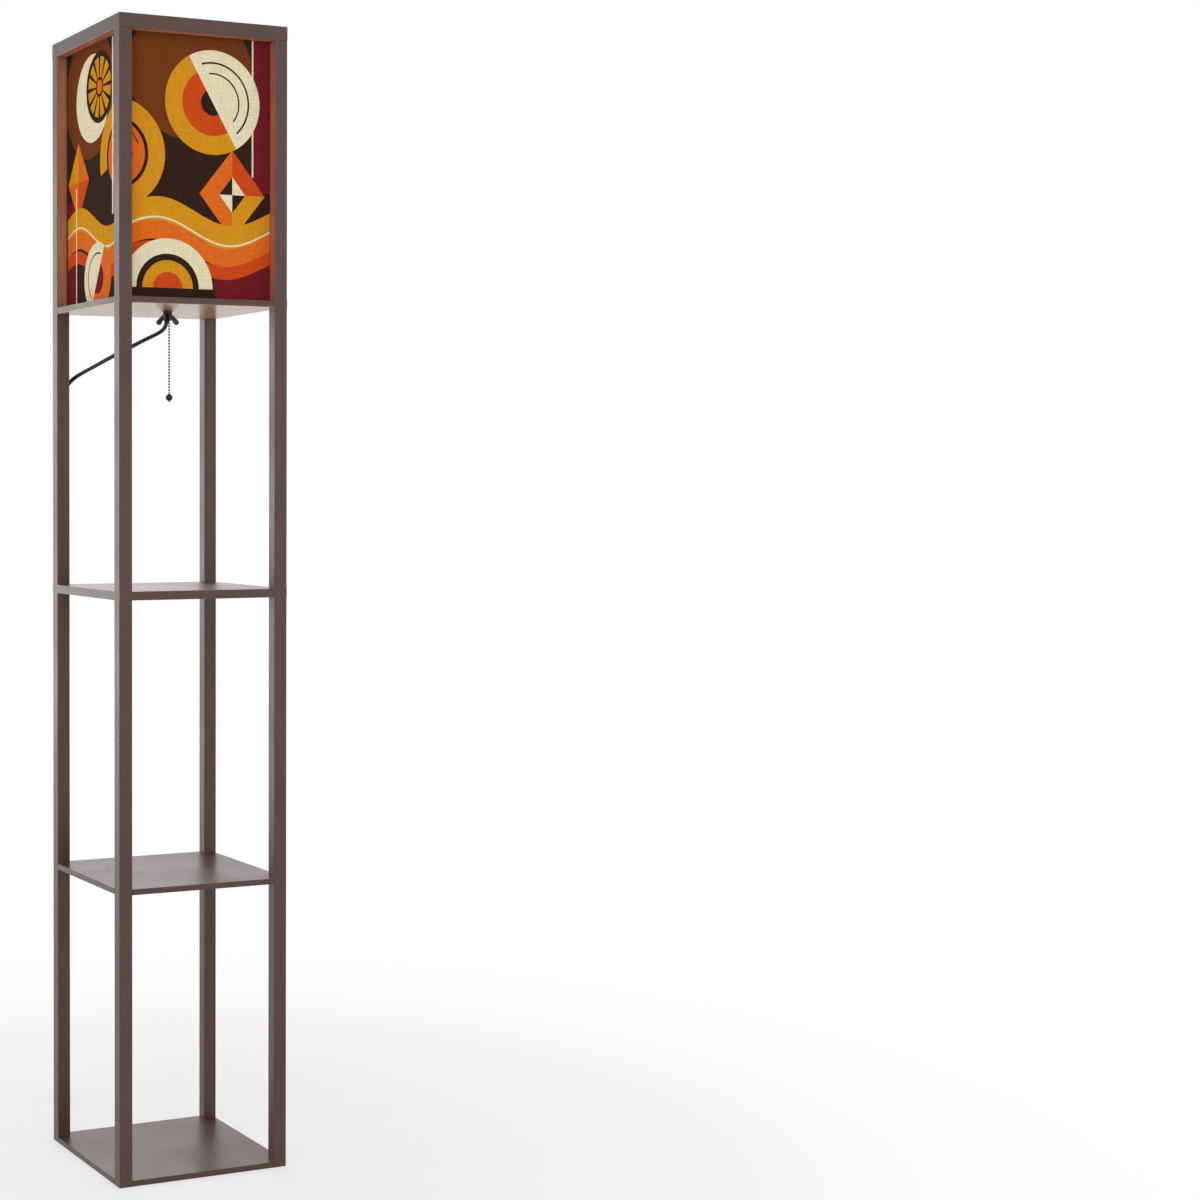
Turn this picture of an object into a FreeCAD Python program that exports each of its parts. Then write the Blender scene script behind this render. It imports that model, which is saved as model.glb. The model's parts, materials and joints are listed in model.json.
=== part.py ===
import FreeCAD, Part
import math
import os
import Sketcher
from FreeCAD import Placement, Rotation, Vector

# A floor lamp whose square wooden frame carries three open shelves under a printed fabric shade.
# The lamp stands on z = 0 and its middle is on the Z axis; -Y is the front. All lengths are in mm.

doc = FreeCAD.newDocument("shelf_floor_lamp")
sheet = doc.addObject("Spreadsheet::Sheet", "Sizes")

DRIVING = {
    # wooden frame
    "width": 254.0,
    "depth": 254.0,
    "height": 1600.0,
    "post_side": 19.0,
    "edge_round": 1.0,
    "rail_height": 20.0,
    "shelf_thickness": 8.0,
    "upper_shelf_thickness": 12.0,
    "plate_thickness": 8.0,
    "lining_thickness": 0.8,
    "lining_setback": 0.5,
    "middle_shelf_top": 409.0,
    "upper_shelf_top": 816.0,
    "plate_top": 1218.0,
    "panel_rebate": 2.0,
    # frame fasteners
    "dowel_radius": 2.5,
    "shelf_dowel_length": 22.0,
    "frame_dowel_radius": 3.0,
    "frame_dowel_length": 24.0,
    "stud_radius": 3.0,
    "stud_hole_radius": 3.3,
    "insert_radius": 4.25,
    "insert_length": 13.0,
    "stud_reach": 11.0,
    "round_fit": 0.05,
    # shade
    "fabric_thickness": 0.6,
    "liner_thickness": 1.2,
    # hanging fitting under the shade plate
    "nipple_radius": 4.95,
    "nipple_bore_radius": 4.1,
    "washer_radius": 9.25,
    "washer_thickness": 1.2,
    "nut_gap": 0.3,
    "nut_fit": 0.08,
    "nut_height": 12.0,
    "nut_top_radius": 6.6,
    "nut_waist_radius": 5.9,
    "nut_foot_radius": 5.7,
    "wing_length": 17.5,
    "wing_root_width": 4.6,
    "wing_tip_radius": 4.0,
    "wing_thickness": 4.4,
    "wing_droop": 47.0,
    "wing_bearing": 246.0,
    "nipple_recess": 0.5,
    "bushing_length": 9.0,
    "lead_width": 6.0,
    "lead_thickness": 3.0,
    "cord_offset": 1.8,
    "chain_offset": 2.4,
    "chain_clearance": 0.3,
    "cord_bearing": 135.0,
    # lamp holder
    "lock_nut_across": 14.0,
    "lock_nut_height": 3.0,
    "nipple_in_holder": 10.0,
    "cap_hub_radius": 6.5,
    "cap_radius": 18.0,
    "cap_wall": 0.8,
    "cap_height": 30.0,
    "block_radius": 16.6,
    "block_height": 23.0,
    "block_floor": 4.0,
    "plunger_radius": 3.0,
    "plunger_height": 4.0,
    "plunger_gap": 0.3,
    "spring_outer_radius": 2.9,
    "spring_inner_radius": 1.7,
    "spring_length": 13.0,
    "shell_radius": 17.2,
    "shell_wall": 2.0,
    "shell_height": 29.0,
    "screw_shell_wall": 0.4,
    "screw_shell_height": 24.0,
    "contact_radius": 4.0,
    "contact_height": 2.0,
    # bulb
    "bulb_cap_radius": 13.1,
    "bulb_cap_height": 25.0,
    "bulb_fit": 0.3,
    "bulb_radius": 30.0,
    "bulb_height": 84.0,
    "bulb_glass_wall": 0.8,
    "bulb_tip_radius": 4.6,
    "bulb_tip_height": 2.0,
    # pull chain
    "bead_radius": 1.4,
    "bead_pitch": 4.15,
    "chain_wire_radius": 0.5,
    "beads_under_nut": 3.0,
    "beads_in_drop": 22.0,
    "pull_ball_radius": 5.0,
    "pull_tip_radius": 1.6,
    "pull_tip_height": 1.6,
    # mains cord
    "cord_radius": 2.5,
    "cord_inset": 8.5,
    "top_clip_z": 1000.0,
    "upper_clip_z": 680.0,
    "lower_clip_z": 360.0,
    "foot_clip_z": 90.0,
    "clip_height": 6.0,
    "clip_wall": 1.2,
    "clip_fit": 0.6,
    "clip_tab_length": 6.0,
    "clip_tab_thickness": 2.5,
    "nail_inset": 15.0,
    "nail_radius": 0.8,
    "nail_head_radius": 1.7,
    "nail_head_height": 0.8,
    "nail_length": 9.0,
    "plug_width": 22.0,
    "plug_thickness": 12.0,
    "plug_length": 25.0,
    "plug_nose": 3.0,
    "neck_length": 18.0,
    "neck_start_radius": 5.0,
    "neck_end_radius": 3.8,
    "blade_width": 6.35,
    "blade_thickness": 1.5,
    "blade_length": 16.5,
    "blade_spacing": 12.7,
    "blade_root": 6.0,
}
for row, (alias, number) in enumerate(DRIVING.items(), start=1):
    sheet.set(f"A{row}", alias)
    sheet.set(f"B{row}", str(number))
    sheet.setAlias(f"B{row}", alias)
doc.recompute()


def value(expression):
    """The number that an expression of the sheet's sizes has now."""
    return float(sheet.evalExpression(str(expression)))


# Places that several pieces share, as expressions of the sheet's sizes.
HALF_X = "Sizes.width / 2"
HALF_Y = "Sizes.depth / 2"
POST_X = "(Sizes.width - Sizes.post_side) / 2"
POST_Y = "(Sizes.depth - Sizes.post_side) / 2"
INNER_X = "(Sizes.width / 2 - Sizes.post_side)"
INNER_Y = "(Sizes.depth / 2 - Sizes.post_side)"
PANEL_X = f"({INNER_X} + Sizes.panel_rebate)"
PANEL_Y = f"({INNER_Y} + Sizes.panel_rebate)"
PANEL_THICKNESS = "(Sizes.fabric_thickness + Sizes.liner_thickness)"
UPPER_SHELF_BASE = "(Sizes.upper_shelf_top - Sizes.upper_shelf_thickness)"
MIDDLE_SHELF_BASE = "(Sizes.middle_shelf_top - Sizes.shelf_thickness)"
PLATE_BASE = "(Sizes.plate_top - Sizes.plate_thickness)"
LINING_BASE = f"({PLATE_BASE} - Sizes.lining_thickness)"
RAIL_BASE = "(Sizes.height - Sizes.rail_height)"
WASHER_BASE = f"({LINING_BASE} - Sizes.washer_thickness)"
NUT_TOP = f"({WASHER_BASE} - Sizes.nut_gap)"
NUT_BASE = f"({NUT_TOP} - Sizes.nut_height)"
NIPPLE_BASE = f"({NUT_BASE} + Sizes.nipple_recess)"
HOLDER_BASE = "(Sizes.plate_top + Sizes.lock_nut_height)"
NIPPLE_TOP = f"({HOLDER_BASE} + Sizes.nipple_in_holder)"
CAP_TOP = f"({HOLDER_BASE} + Sizes.cap_height)"
BLOCK_BASE = f"({NIPPLE_TOP} + Sizes.cap_wall)"
BLOCK_TOP = f"({BLOCK_BASE} + Sizes.block_height)"
SPRING_BASE = f"({BLOCK_BASE} + Sizes.block_floor)"
PLUNGER_BASE = f"({SPRING_BASE} + Sizes.spring_length)"
CONTACT_TOP = f"({BLOCK_TOP} + Sizes.contact_height)"
BULB_TIP = f"({CONTACT_TOP} + Sizes.bulb_fit)"
BULB_CAP_BASE = f"({BULB_TIP} + Sizes.bulb_tip_height)"
GLASS_BASE = f"({BULB_CAP_BASE} + Sizes.bulb_cap_height)"
SCREW_SHELL_RADIUS = "(Sizes.bulb_cap_radius + Sizes.bulb_fit)"
SWIVEL_Z = f"({NIPPLE_BASE} - Sizes.beads_under_nut * Sizes.bead_pitch)"
CLIP_Y = f"({HALF_Y} + Sizes.clip_wall + Sizes.clip_fit + Sizes.cord_radius)"
CLIP_X = f"(Sizes.cord_inset - {HALF_X})"
NAIL_X = f"(Sizes.nail_inset - {HALF_X})"
LOW_CLIPS = ("Sizes.foot_clip_z", "Sizes.lower_clip_z", "Sizes.upper_clip_z")
HIGH_CLIPS = ("Sizes.top_clip_z",)

CORNERS = {
    "front_left": (-1, -1),
    "front_right": (1, -1),
    "back_left": (-1, 1),
    "back_right": (1, 1),
}
CORD_CORNER = "back_left"
nodes = []


def keep(thing, name):
    """Name a sub-part and list it for writing."""
    thing.Label = name
    nodes.append(thing)
    return thing


def at(thing, x="0", y="0", z="0", turn=None):
    """Place a sub-part by expressions, after an optional turn."""
    if turn is not None:
        thing.Placement = Placement(Vector(), turn)
    thing.setExpression("Placement.Base.x", x)
    thing.setExpression("Placement.Base.y", y)
    thing.setExpression("Placement.Base.z", z)


def new_body(name, several=False, kept=True):
    body = doc.addObject("PartDesign::Body", name)
    body.AllowCompound = several
    return keep(body, name) if kept else body


def new_sketch(body, name, plane, offset):
    """A sketch on one of the body's own origin planes, moved along that plane's normal."""
    sketch = body.newObject("Sketcher::SketchObject", f"{body.Name}_{name}")
    sketch.AttachmentSupport = [(p, "") for p in body.Origin.OriginFeatures if p.Role == plane]
    sketch.MapMode = "FlatFace"
    sketch.setExpression(".AttachmentOffset.Base.z", offset)
    return sketch


def fix_point(sketch, geometry, end, x, y):
    for kind, size in (("DistanceX", x), ("DistanceY", y)):
        index = sketch.addConstraint(
            Sketcher.Constraint(kind, -1, 1, geometry, end, value(size))
        )
        sketch.setExpression(f"Constraints[{index}]", size)


def polygon(body, name, plane, points, offset="0"):
    """A closed outline through corners that are given as pairs of expressions."""
    sketch = new_sketch(body, name, plane, offset)
    corners = [Vector(value(x), value(y), 0) for x, y in points]
    count = len(corners)
    for i in range(count):
        sketch.addGeometry(Part.LineSegment(corners[i], corners[(i + 1) % count]))
    for i in range(count):
        sketch.addConstraint(Sketcher.Constraint("Coincident", i, 2, (i + 1) % count, 1))
        fix_point(sketch, i, 1, *points[i])
    return sketch


def circles(body, name, plane, centres, radii, offset="0"):
    """Circles of every given radius round every given centre."""
    sketch = new_sketch(body, name, plane, offset)
    for x, y in centres:
        for radius in radii:
            middle = Vector(value(x), value(y), 0)
            i = sketch.addGeometry(Part.Circle(middle, Vector(0, 0, 1), value(radius)))
            fix_point(sketch, i, 3, x, y)
            index = sketch.addConstraint(Sketcher.Constraint("Radius", i, value(radius)))
            sketch.setExpression(f"Constraints[{index}]", radius)
    return sketch


def pad(body, sketch, length, middle=False, back=False):
    feature = body.newObject("PartDesign::Pad", f"{sketch.Name}_pad")
    feature.Profile = sketch
    feature.Midplane = middle
    feature.Reversed = back
    feature.setExpression("Length", length)
    return feature


def pocket(body, sketch, length, along_normal=False):
    """Cut a sketch into the body and make sure that it took something away."""
    doc.recompute()
    before = body.Shape.Volume
    feature = body.newObject("PartDesign::Pocket", f"{sketch.Name}_pocket")
    feature.Profile = sketch
    feature.Reversed = along_normal
    feature.setExpression("Length", length)
    doc.recompute()
    assert body.Shape.Volume < before - 1e-3, f"{sketch.Name} cuts nothing"
    return feature


def turned(body, profile):
    """Turn an outline, given as (radius, z) pairs, once round the Z axis."""
    sketch = polygon(body, "profile", "XZ_Plane", profile)
    feature = body.newObject("PartDesign::Revolution", f"{body.Name}_turned")
    feature.Profile = sketch
    feature.ReferenceAxis = (sketch, ["V_Axis"])
    feature.Angle = 360
    return feature


def ease(body, test, radius="Sizes.edge_round"):
    """Round the edges of the body's tip that pass a test on their two ends."""
    doc.recompute()
    tip = body.Tip
    names = [
        f"Edge{i}"
        for i, edge in enumerate(tip.Shape.Edges, start=1)
        if len(edge.Vertexes) == 2 and test(edge.Vertexes[0].Point, edge.Vertexes[1].Point)
    ]
    feature = body.newObject("PartDesign::Fillet", f"{body.Name}_eased")
    feature.Base = (tip, names)
    feature.setExpression("Radius", radius)
    return feature


def box(name, x, y, z, length, width, height):
    """A block with its lowest corner at x, y, z."""
    thing = doc.addObject("Part::Box", name)
    for side, size in (("Length", length), ("Width", width), ("Height", height)):
        thing.setExpression(side, size)
    at(thing, x, y, z)
    return thing


def cylinder(name, radius, height, x="0", y="0", z="0", turn=None):
    thing = doc.addObject("Part::Cylinder", name)
    thing.setExpression("Radius", radius)
    thing.setExpression("Height", height)
    at(thing, x, y, z, turn)
    return thing


def group(name, members):
    """Identical fasteners as one sub-part of separate solids."""
    thing = doc.addObject("Part::Compound", name)
    thing.Links = members
    return keep(thing, name)


def shaped(name, shape):
    """A sub-part whose form is worked out from the sheet's sizes."""
    thing = doc.addObject("Part::Feature", name)
    thing.Shape = shape
    return keep(thing, name)


# ---------------------------------------------------------------- posts

TURN_TO_X = Rotation(Vector(0, 1, 0), 90)
TURN_TO_BACK = Rotation(Vector(1, 0, 0), 90)


def is_upright(a, b):
    return abs(a.x - b.x) < 1e-6 and abs(a.y - b.y) < 1e-6


def post(name, corner, base, top, dowels=(), nails=(), insert_below=False, insert_above=False):
    """A square post with eased long edges. Its frame starts at its own foot, on its centre line."""
    side_x, side_y = CORNERS[corner]
    body = new_body(f"{name}_{corner}")
    length = f"({top} - {base})"
    half = "Sizes.post_side / 2"
    square = [(f"-{half}", f"-{half}"), (half, f"-{half}"), (half, half), (f"-{half}", half)]
    pad(body, polygon(body, "section", "XY_Plane", square), length)
    ease(body, is_upright)
    hole = "Sizes.insert_radius + Sizes.round_fit"
    if insert_below:
        mouth = circles(body, "foot_hole", "XY_Plane", [("0", "0")], [hole])
        pocket(body, mouth, "Sizes.insert_length", along_normal=True)
    if insert_above:
        mouth = circles(body, "head_hole", "XY_Plane", [("0", "0")], [hole], length)
        pocket(body, mouth, "Sizes.insert_length")
    for place, height in enumerate(dowels):
        face = f"{-side_x} * {half}"
        spot = [("0", f"{height} - {base}")]
        mouth = circles(
            body,
            f"dowel_hole_{place}",
            "YZ_Plane",
            spot,
            ["Sizes.dowel_radius + Sizes.round_fit"],
            face,
        )
        pocket(body, mouth, "Sizes.shelf_dowel_length / 2", along_normal=side_x > 0)
    for place, height in enumerate(nails):
        spot = [(f"{NAIL_X} - ({side_x} * {POST_X})", f"{height} - {base}")]
        mouth = circles(
            body,
            f"nail_hole_{place}",
            "XZ_Plane",
            spot,
            ["Sizes.nail_radius + Sizes.round_fit"],
            f"-{half}",
        )
        pocket(body, mouth, "Sizes.nail_length", along_normal=True)
    at(body, f"{side_x} * {POST_X}", f"{side_y} * {POST_Y}", base)
    return body


def shade_post(corner):
    """A post beside the shade: a rebate along its inner edge takes the corner of two panels."""
    side_x, side_y = CORNERS[corner]
    body = post(
        "shade_post", corner, "Sizes.plate_top", RAIL_BASE, insert_below=True
    )
    half = "Sizes.post_side / 2"
    deep = f"({half} - Sizes.panel_rebate)"
    over = f"({half} + 1)"
    rebate = [
        (f"{-side_x} * {deep}", f"{-side_y} * {deep}"),
        (f"{-side_x} * {over}", f"{-side_y} * {deep}"),
        (f"{-side_x} * {over}", f"{-side_y} * {over}"),
        (f"{-side_x} * {deep}", f"{-side_y} * {over}"),
    ]
    length = f"({RAIL_BASE} - Sizes.plate_top)"
    pocket(body, polygon(body, "rebate", "XY_Plane", rebate), length, along_normal=True)
    hole = circles(
        body,
        "frame_dowel_hole",
        "XY_Plane",
        [("0", "0")],
        ["Sizes.frame_dowel_radius + Sizes.round_fit"],
        length,
    )
    pocket(body, hole, "Sizes.frame_dowel_length / 2")


BOTTOM_DOWEL_Z = "Sizes.shelf_thickness / 2"
MIDDLE_DOWEL_Z = f"({MIDDLE_SHELF_BASE} + Sizes.shelf_thickness / 2)"
for corner in CORNERS:
    post(
        "lower_post",
        corner,
        "0",
        UPPER_SHELF_BASE,
        dowels=(BOTTOM_DOWEL_Z, MIDDLE_DOWEL_Z),
        nails=LOW_CLIPS if corner == CORD_CORNER else (),
        insert_above=True,
    )
for corner in CORNERS:
    post(
        "middle_post",
        corner,
        "Sizes.upper_shelf_top",
        PLATE_BASE,
        nails=HIGH_CLIPS if corner == CORD_CORNER else (),
        insert_below=True,
        insert_above=True,
    )
for corner in CORNERS:
    shade_post(corner)

# ---------------------------------------------------------------- shelves and shade plate

POST_SPOTS = [(f"{x} * {POST_X}", f"{y} * {POST_Y}") for x, y in CORNERS.values()]


def is_level(a, b):
    return abs(a.z - b.z) < 1e-6


def notched_board(name, thickness, setback="0"):
    """A board whose corners are cut away for the posts, with its edges set back all round."""
    body = new_body(name)
    half_x, half_y = f"({HALF_X} - {setback})", f"({HALF_Y} - {setback})"
    inner_x, inner_y = f"({INNER_X} - {setback})", f"({INNER_Y} - {setback})"
    outline = [
        (f"-{inner_x}", f"-{half_y}"),
        (inner_x, f"-{half_y}"),
        (inner_x, f"-{inner_y}"),
        (half_x, f"-{inner_y}"),
        (half_x, inner_y),
        (inner_x, inner_y),
        (inner_x, half_y),
        (f"-{inner_x}", half_y),
        (f"-{inner_x}", inner_y),
        (f"-{half_x}", inner_y),
        (f"-{half_x}", f"-{inner_y}"),
        (f"-{inner_x}", f"-{inner_y}"),
    ]
    pad(body, polygon(body, "outline", "XY_Plane", outline), thickness)
    return body


def notched_shelf(name, base):
    """A shelf between the posts. A dowel enters each of its notches along X."""
    body = notched_board(name, "Sizes.shelf_thickness")
    for side in (-1, 1):
        spots = [(f"{end} * {POST_Y}", "Sizes.shelf_thickness / 2") for end in (-1, 1)]
        mouths = circles(
            body,
            f"dowel_holes_{'right' if side > 0 else 'left'}",
            "YZ_Plane",
            spots,
            ["Sizes.dowel_radius + Sizes.round_fit"],
            f"{side} * {INNER_X}",
        )
        pocket(body, mouths, "Sizes.shelf_dowel_length / 2", along_normal=side < 0)
    at(body, z=base)


def full_shelf(name, base, thickness):
    """A whole square board that the posts stand on. A stud passes through it in each corner."""
    body = new_body(name)
    outline = [
        (f"-{HALF_X}", f"-{HALF_Y}"),
        (HALF_X, f"-{HALF_Y}"),
        (HALF_X, HALF_Y),
        (f"-{HALF_X}", HALF_Y),
    ]
    pad(body, polygon(body, "outline", "XY_Plane", outline), thickness)
    holes = circles(body, "stud_holes", "XY_Plane", POST_SPOTS, ["Sizes.stud_hole_radius"])
    pocket(body, holes, thickness, along_normal=True)
    at(body, z=base)
    return body


def nipple_hole(body, thickness):
    """The hole in the middle of a board that the lamp nipple passes through."""
    radius = "Sizes.nipple_radius + Sizes.stud_hole_radius - Sizes.stud_radius"
    hole = circles(body, "middle_hole", "XY_Plane", [("0", "0")], [radius])
    pocket(body, hole, thickness, along_normal=True)


def shade_plate():
    """The board under the shade, and the sheet that lines its underside between the posts."""
    plate = full_shelf("shade_plate", PLATE_BASE, "Sizes.plate_thickness")
    nipple_hole(plate, "Sizes.plate_thickness")
    lining = notched_board("plate_lining", "Sizes.lining_thickness", "Sizes.lining_setback")
    nipple_hole(lining, "Sizes.lining_thickness")
    at(lining, z=LINING_BASE)


notched_shelf("bottom_shelf", "0")
notched_shelf("middle_shelf", MIDDLE_SHELF_BASE)
full_shelf("upper_shelf", UPPER_SHELF_BASE, "Sizes.upper_shelf_thickness")
shade_plate()

# ---------------------------------------------------------------- top frame


def top_rail(name, along_x, side):
    """A rail with mitred ends, and at each end its half of the hole for a frame dowel."""
    body = new_body(name)
    if along_x:
        outline = [
            (f"-{HALF_X}", f"{side} * {HALF_Y}"),
            (HALF_X, f"{side} * {HALF_Y}"),
            (INNER_X, f"{side} * {INNER_Y}"),
            (f"-{INNER_X}", f"{side} * {INNER_Y}"),
        ]
        spots = [(f"{end} * {POST_X}", f"{side} * {POST_Y}") for end in (-1, 1)]
    else:
        outline = [
            (f"{side} * {HALF_X}", f"-{HALF_Y}"),
            (f"{side} * {HALF_X}", HALF_Y),
            (f"{side} * {INNER_X}", INNER_Y),
            (f"{side} * {INNER_X}", f"-{INNER_Y}"),
        ]
        spots = [(f"{side} * {POST_X}", f"{end} * {POST_Y}") for end in (-1, 1)]
    pad(body, polygon(body, "outline", "XY_Plane", outline), "Sizes.rail_height")
    long = 0.8 * value("min(Sizes.width; Sizes.depth)")
    ease(body, lambda a, b: is_level(a, b) and (a - b).Length > long)
    holes = circles(
        body,
        "dowel_holes",
        "XY_Plane",
        spots,
        ["Sizes.frame_dowel_radius + Sizes.round_fit"],
    )
    pocket(body, holes, "Sizes.frame_dowel_length / 2", along_normal=True)
    at(body, z=RAIL_BASE)


top_rail("top_rail_front", True, -1)
top_rail("top_rail_back", True, 1)
top_rail("top_rail_left", False, -1)
top_rail("top_rail_right", False, 1)

# ---------------------------------------------------------------- frame fasteners


def shelf_dowels():
    members = []
    for level, height in (("bottom", BOTTOM_DOWEL_Z), ("middle", MIDDLE_DOWEL_Z)):
        for corner, (side_x, side_y) in CORNERS.items():
            start = f"{side_x} * {INNER_X} - Sizes.shelf_dowel_length / 2"
            members.append(
                cylinder(
                    f"shelf_dowel_{level}_{corner}",
                    "Sizes.dowel_radius",
                    "Sizes.shelf_dowel_length",
                    start,
                    f"{side_y} * {POST_Y}",
                    height,
                    TURN_TO_X,
                )
            )
    group("shelf_dowels", members)


def frame_dowels():
    base = f"{RAIL_BASE} - Sizes.frame_dowel_length / 2"
    group(
        "frame_dowels",
        [
            cylinder(
                f"frame_dowel_{corner}",
                "Sizes.frame_dowel_radius",
                "Sizes.frame_dowel_length",
                f"{side_x} * {POST_X}",
                f"{side_y} * {POST_Y}",
                base,
            )
            for corner, (side_x, side_y) in CORNERS.items()
        ],
    )


def joining_studs():
    """Four studs hold the posts above and below the upper shelf, and four those at the plate."""
    body = new_body("joining_studs", several=True)
    reach = "Sizes.stud_reach"
    spans = {
        "upper_shelf": (f"{UPPER_SHELF_BASE} - {reach}", f"Sizes.upper_shelf_top + {reach}"),
        "plate": (f"{PLATE_BASE} - {reach}", f"Sizes.plate_top + {reach}"),
    }
    for name, (low, high) in spans.items():
        rods = circles(body, name, "XY_Plane", POST_SPOTS, ["Sizes.stud_radius"], low)
        pad(body, rods, f"{high} - ({low})")


def threaded_inserts():
    """A sleeve in each post end that a stud screws into."""
    body = new_body("threaded_inserts", several=True)
    length = "Sizes.insert_length"
    mouths = {
        "lower_post_head": f"{UPPER_SHELF_BASE} - {length}",
        "middle_post_foot": "Sizes.upper_shelf_top",
        "middle_post_head": f"{PLATE_BASE} - {length}",
        "shade_post_foot": "Sizes.plate_top",
    }
    radii = ["Sizes.insert_radius", "Sizes.stud_radius + Sizes.round_fit"]
    for name, base in mouths.items():
        pad(body, circles(body, name, "XY_Plane", POST_SPOTS, radii, base), length)


shelf_dowels()
frame_dowels()
joining_studs()
threaded_inserts()

# ---------------------------------------------------------------- shade

SHADE_HEIGHT = f"({RAIL_BASE} - Sizes.plate_top)"
SIDE_HALF_Y = f"({PANEL_Y} - {PANEL_THICKNESS})"


def shade_panel(kind, side_name, along_x, side, depth_in, thickness):
    """A flat sheet in the rebates. Those at the sides stand between the front and back ones."""
    if along_x:
        low = f"{side} * ({PANEL_Y} - {depth_in} - {thickness} / 2) - {thickness} / 2"
        panel = box(
            f"{kind}_{side_name}",
            f"-{PANEL_X}",
            low,
            "Sizes.plate_top",
            f"2 * {PANEL_X}",
            thickness,
            SHADE_HEIGHT,
        )
    else:
        low = f"{side} * ({PANEL_X} - {depth_in} - {thickness} / 2) - {thickness} / 2"
        panel = box(
            f"{kind}_{side_name}",
            low,
            f"-{SIDE_HALF_Y}",
            "Sizes.plate_top",
            thickness,
            f"2 * {SIDE_HALF_Y}",
            SHADE_HEIGHT,
        )
    keep(panel, f"{kind}_{side_name}")


for side_name, along_x, side in (
    ("front", True, -1),
    ("back", True, 1),
    ("left", False, -1),
    ("right", False, 1),
):
    shade_panel("shade_fabric", side_name, along_x, side, "0", "Sizes.fabric_thickness")
    shade_panel(
        "shade_liner",
        side_name,
        along_x,
        side,
        "Sizes.fabric_thickness",
        "Sizes.liner_thickness",
    )

# ---------------------------------------------------------------- fitting under the plate


def lamp_nipple():
    body = new_body("lamp_nipple")
    radii = ["Sizes.nipple_radius", "Sizes.nipple_bore_radius"]
    ring = circles(body, "ring", "XY_Plane", [("0", "0")], radii, NIPPLE_BASE)
    pad(body, ring, f"{NIPPLE_TOP} - {NIPPLE_BASE}")


def flange_washer():
    """A thin dished washer under the lining."""
    hole = "Sizes.nipple_radius + Sizes.round_fit"
    third = "Sizes.washer_thickness / 3"
    turned(
        new_body("flange_washer"),
        [
            (hole, LINING_BASE),
            (hole, WASHER_BASE),
            ("Sizes.nut_top_radius", WASHER_BASE),
            ("Sizes.washer_radius", f"{LINING_BASE} - 2 * {third}"),
            ("Sizes.washer_radius", LINING_BASE),
        ],
    )


def lock_nut():
    body = new_body("nipple_lock_nut")
    half = "Sizes.lock_nut_across / 2"
    corner = f"({half} / cos(30 deg))"
    corners = [
        (f"{corner} * cos({60 * i} deg)", f"{corner} * sin({60 * i} deg)") for i in range(6)
    ]
    pad(body, polygon(body, "hexagon", "XY_Plane", corners), "Sizes.lock_nut_height")
    hole = ["Sizes.nipple_radius + Sizes.round_fit"]
    mouth = circles(body, "bore", "XY_Plane", [("0", "0")], hole)
    pocket(body, mouth, "Sizes.lock_nut_height", along_normal=True)
    at(body, z="Sizes.plate_top")


WING_TURN = "Sizes.wing_bearing * 1 deg"


def wing(number):
    """One flat-sided lobe of the hand nut, leaning outwards and down."""
    reach = "Sizes.wing_length - Sizes.wing_tip_radius"
    arm = doc.addObject("Part::Cone", f"wing_arm_{number}")
    arm.setExpression("Radius1", "Sizes.wing_root_width / 2")
    arm.setExpression("Radius2", "Sizes.wing_tip_radius")
    arm.setExpression("Height", reach)
    tip = doc.addObject("Part::Sphere", f"wing_tip_{number}")
    tip.setExpression("Radius", "Sizes.wing_tip_radius")
    at(tip, z=reach)
    lobe = doc.addObject("Part::MultiFuse", f"wing_lobe_{number}")
    lobe.Shapes = [arm, tip]
    slab = box(
        f"wing_slab_{number}",
        "-2 * Sizes.wing_tip_radius",
        "-Sizes.wing_thickness / 2",
        "0",
        "4 * Sizes.wing_tip_radius",
        "Sizes.wing_thickness",
        "Sizes.wing_length",
    )
    flat = doc.addObject("Part::Common", f"wing_{number}")
    flat.Base = lobe
    flat.Tool = slab
    bearing = Rotation(Vector(0, 0, 1), value("Sizes.wing_bearing") + 120 * number)
    lean = Rotation(Vector(0, 1, 0), 90 + value("Sizes.wing_droop"))
    flat.Placement = Placement(Vector(), bearing.multiply(lean))
    flat.setExpression(
        "Placement.Base.x", f"Sizes.nipple_radius * cos({WING_TURN} + {120 * number} deg)"
    )
    flat.setExpression(
        "Placement.Base.y", f"Sizes.nipple_radius * sin({WING_TURN} + {120 * number} deg)"
    )
    flat.setExpression("Placement.Base.z", f"{NUT_TOP} - Sizes.nut_height / 3")
    return flat


def hand_nut():
    """A nut with three lobes that closes the fitting by hand."""
    hub = doc.addObject("PartDesign::Body", "hand_nut_hub")
    turned(
        hub,
        [
            ("0", NUT_BASE),
            ("Sizes.nut_foot_radius", NUT_BASE),
            ("Sizes.nut_waist_radius", f"{NUT_BASE} + Sizes.nut_height / 3"),
            ("Sizes.nut_top_radius", f"{NUT_TOP} - Sizes.nut_height / 4"),
            ("Sizes.nut_top_radius", NUT_TOP),
            ("0", NUT_TOP),
        ],
    )
    whole = doc.addObject("Part::MultiFuse", "hand_nut_whole")
    whole.Shapes = [hub, wing(0), wing(1), wing(2)]
    bore = cylinder(
        "hand_nut_bore",
        "Sizes.nipple_radius + Sizes.nut_fit",
        "2 * Sizes.nut_height",
        z=f"{NUT_BASE} - Sizes.nut_height / 2",
    )
    nut = doc.addObject("Part::Cut", "hand_nut")
    nut.Base = whole
    nut.Tool = bore
    keep(nut, "hand_nut")


lamp_nipple()
flange_washer()
lock_nut()
hand_nut()

# ---------------------------------------------------------------- cord and chain through the nipple

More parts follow.
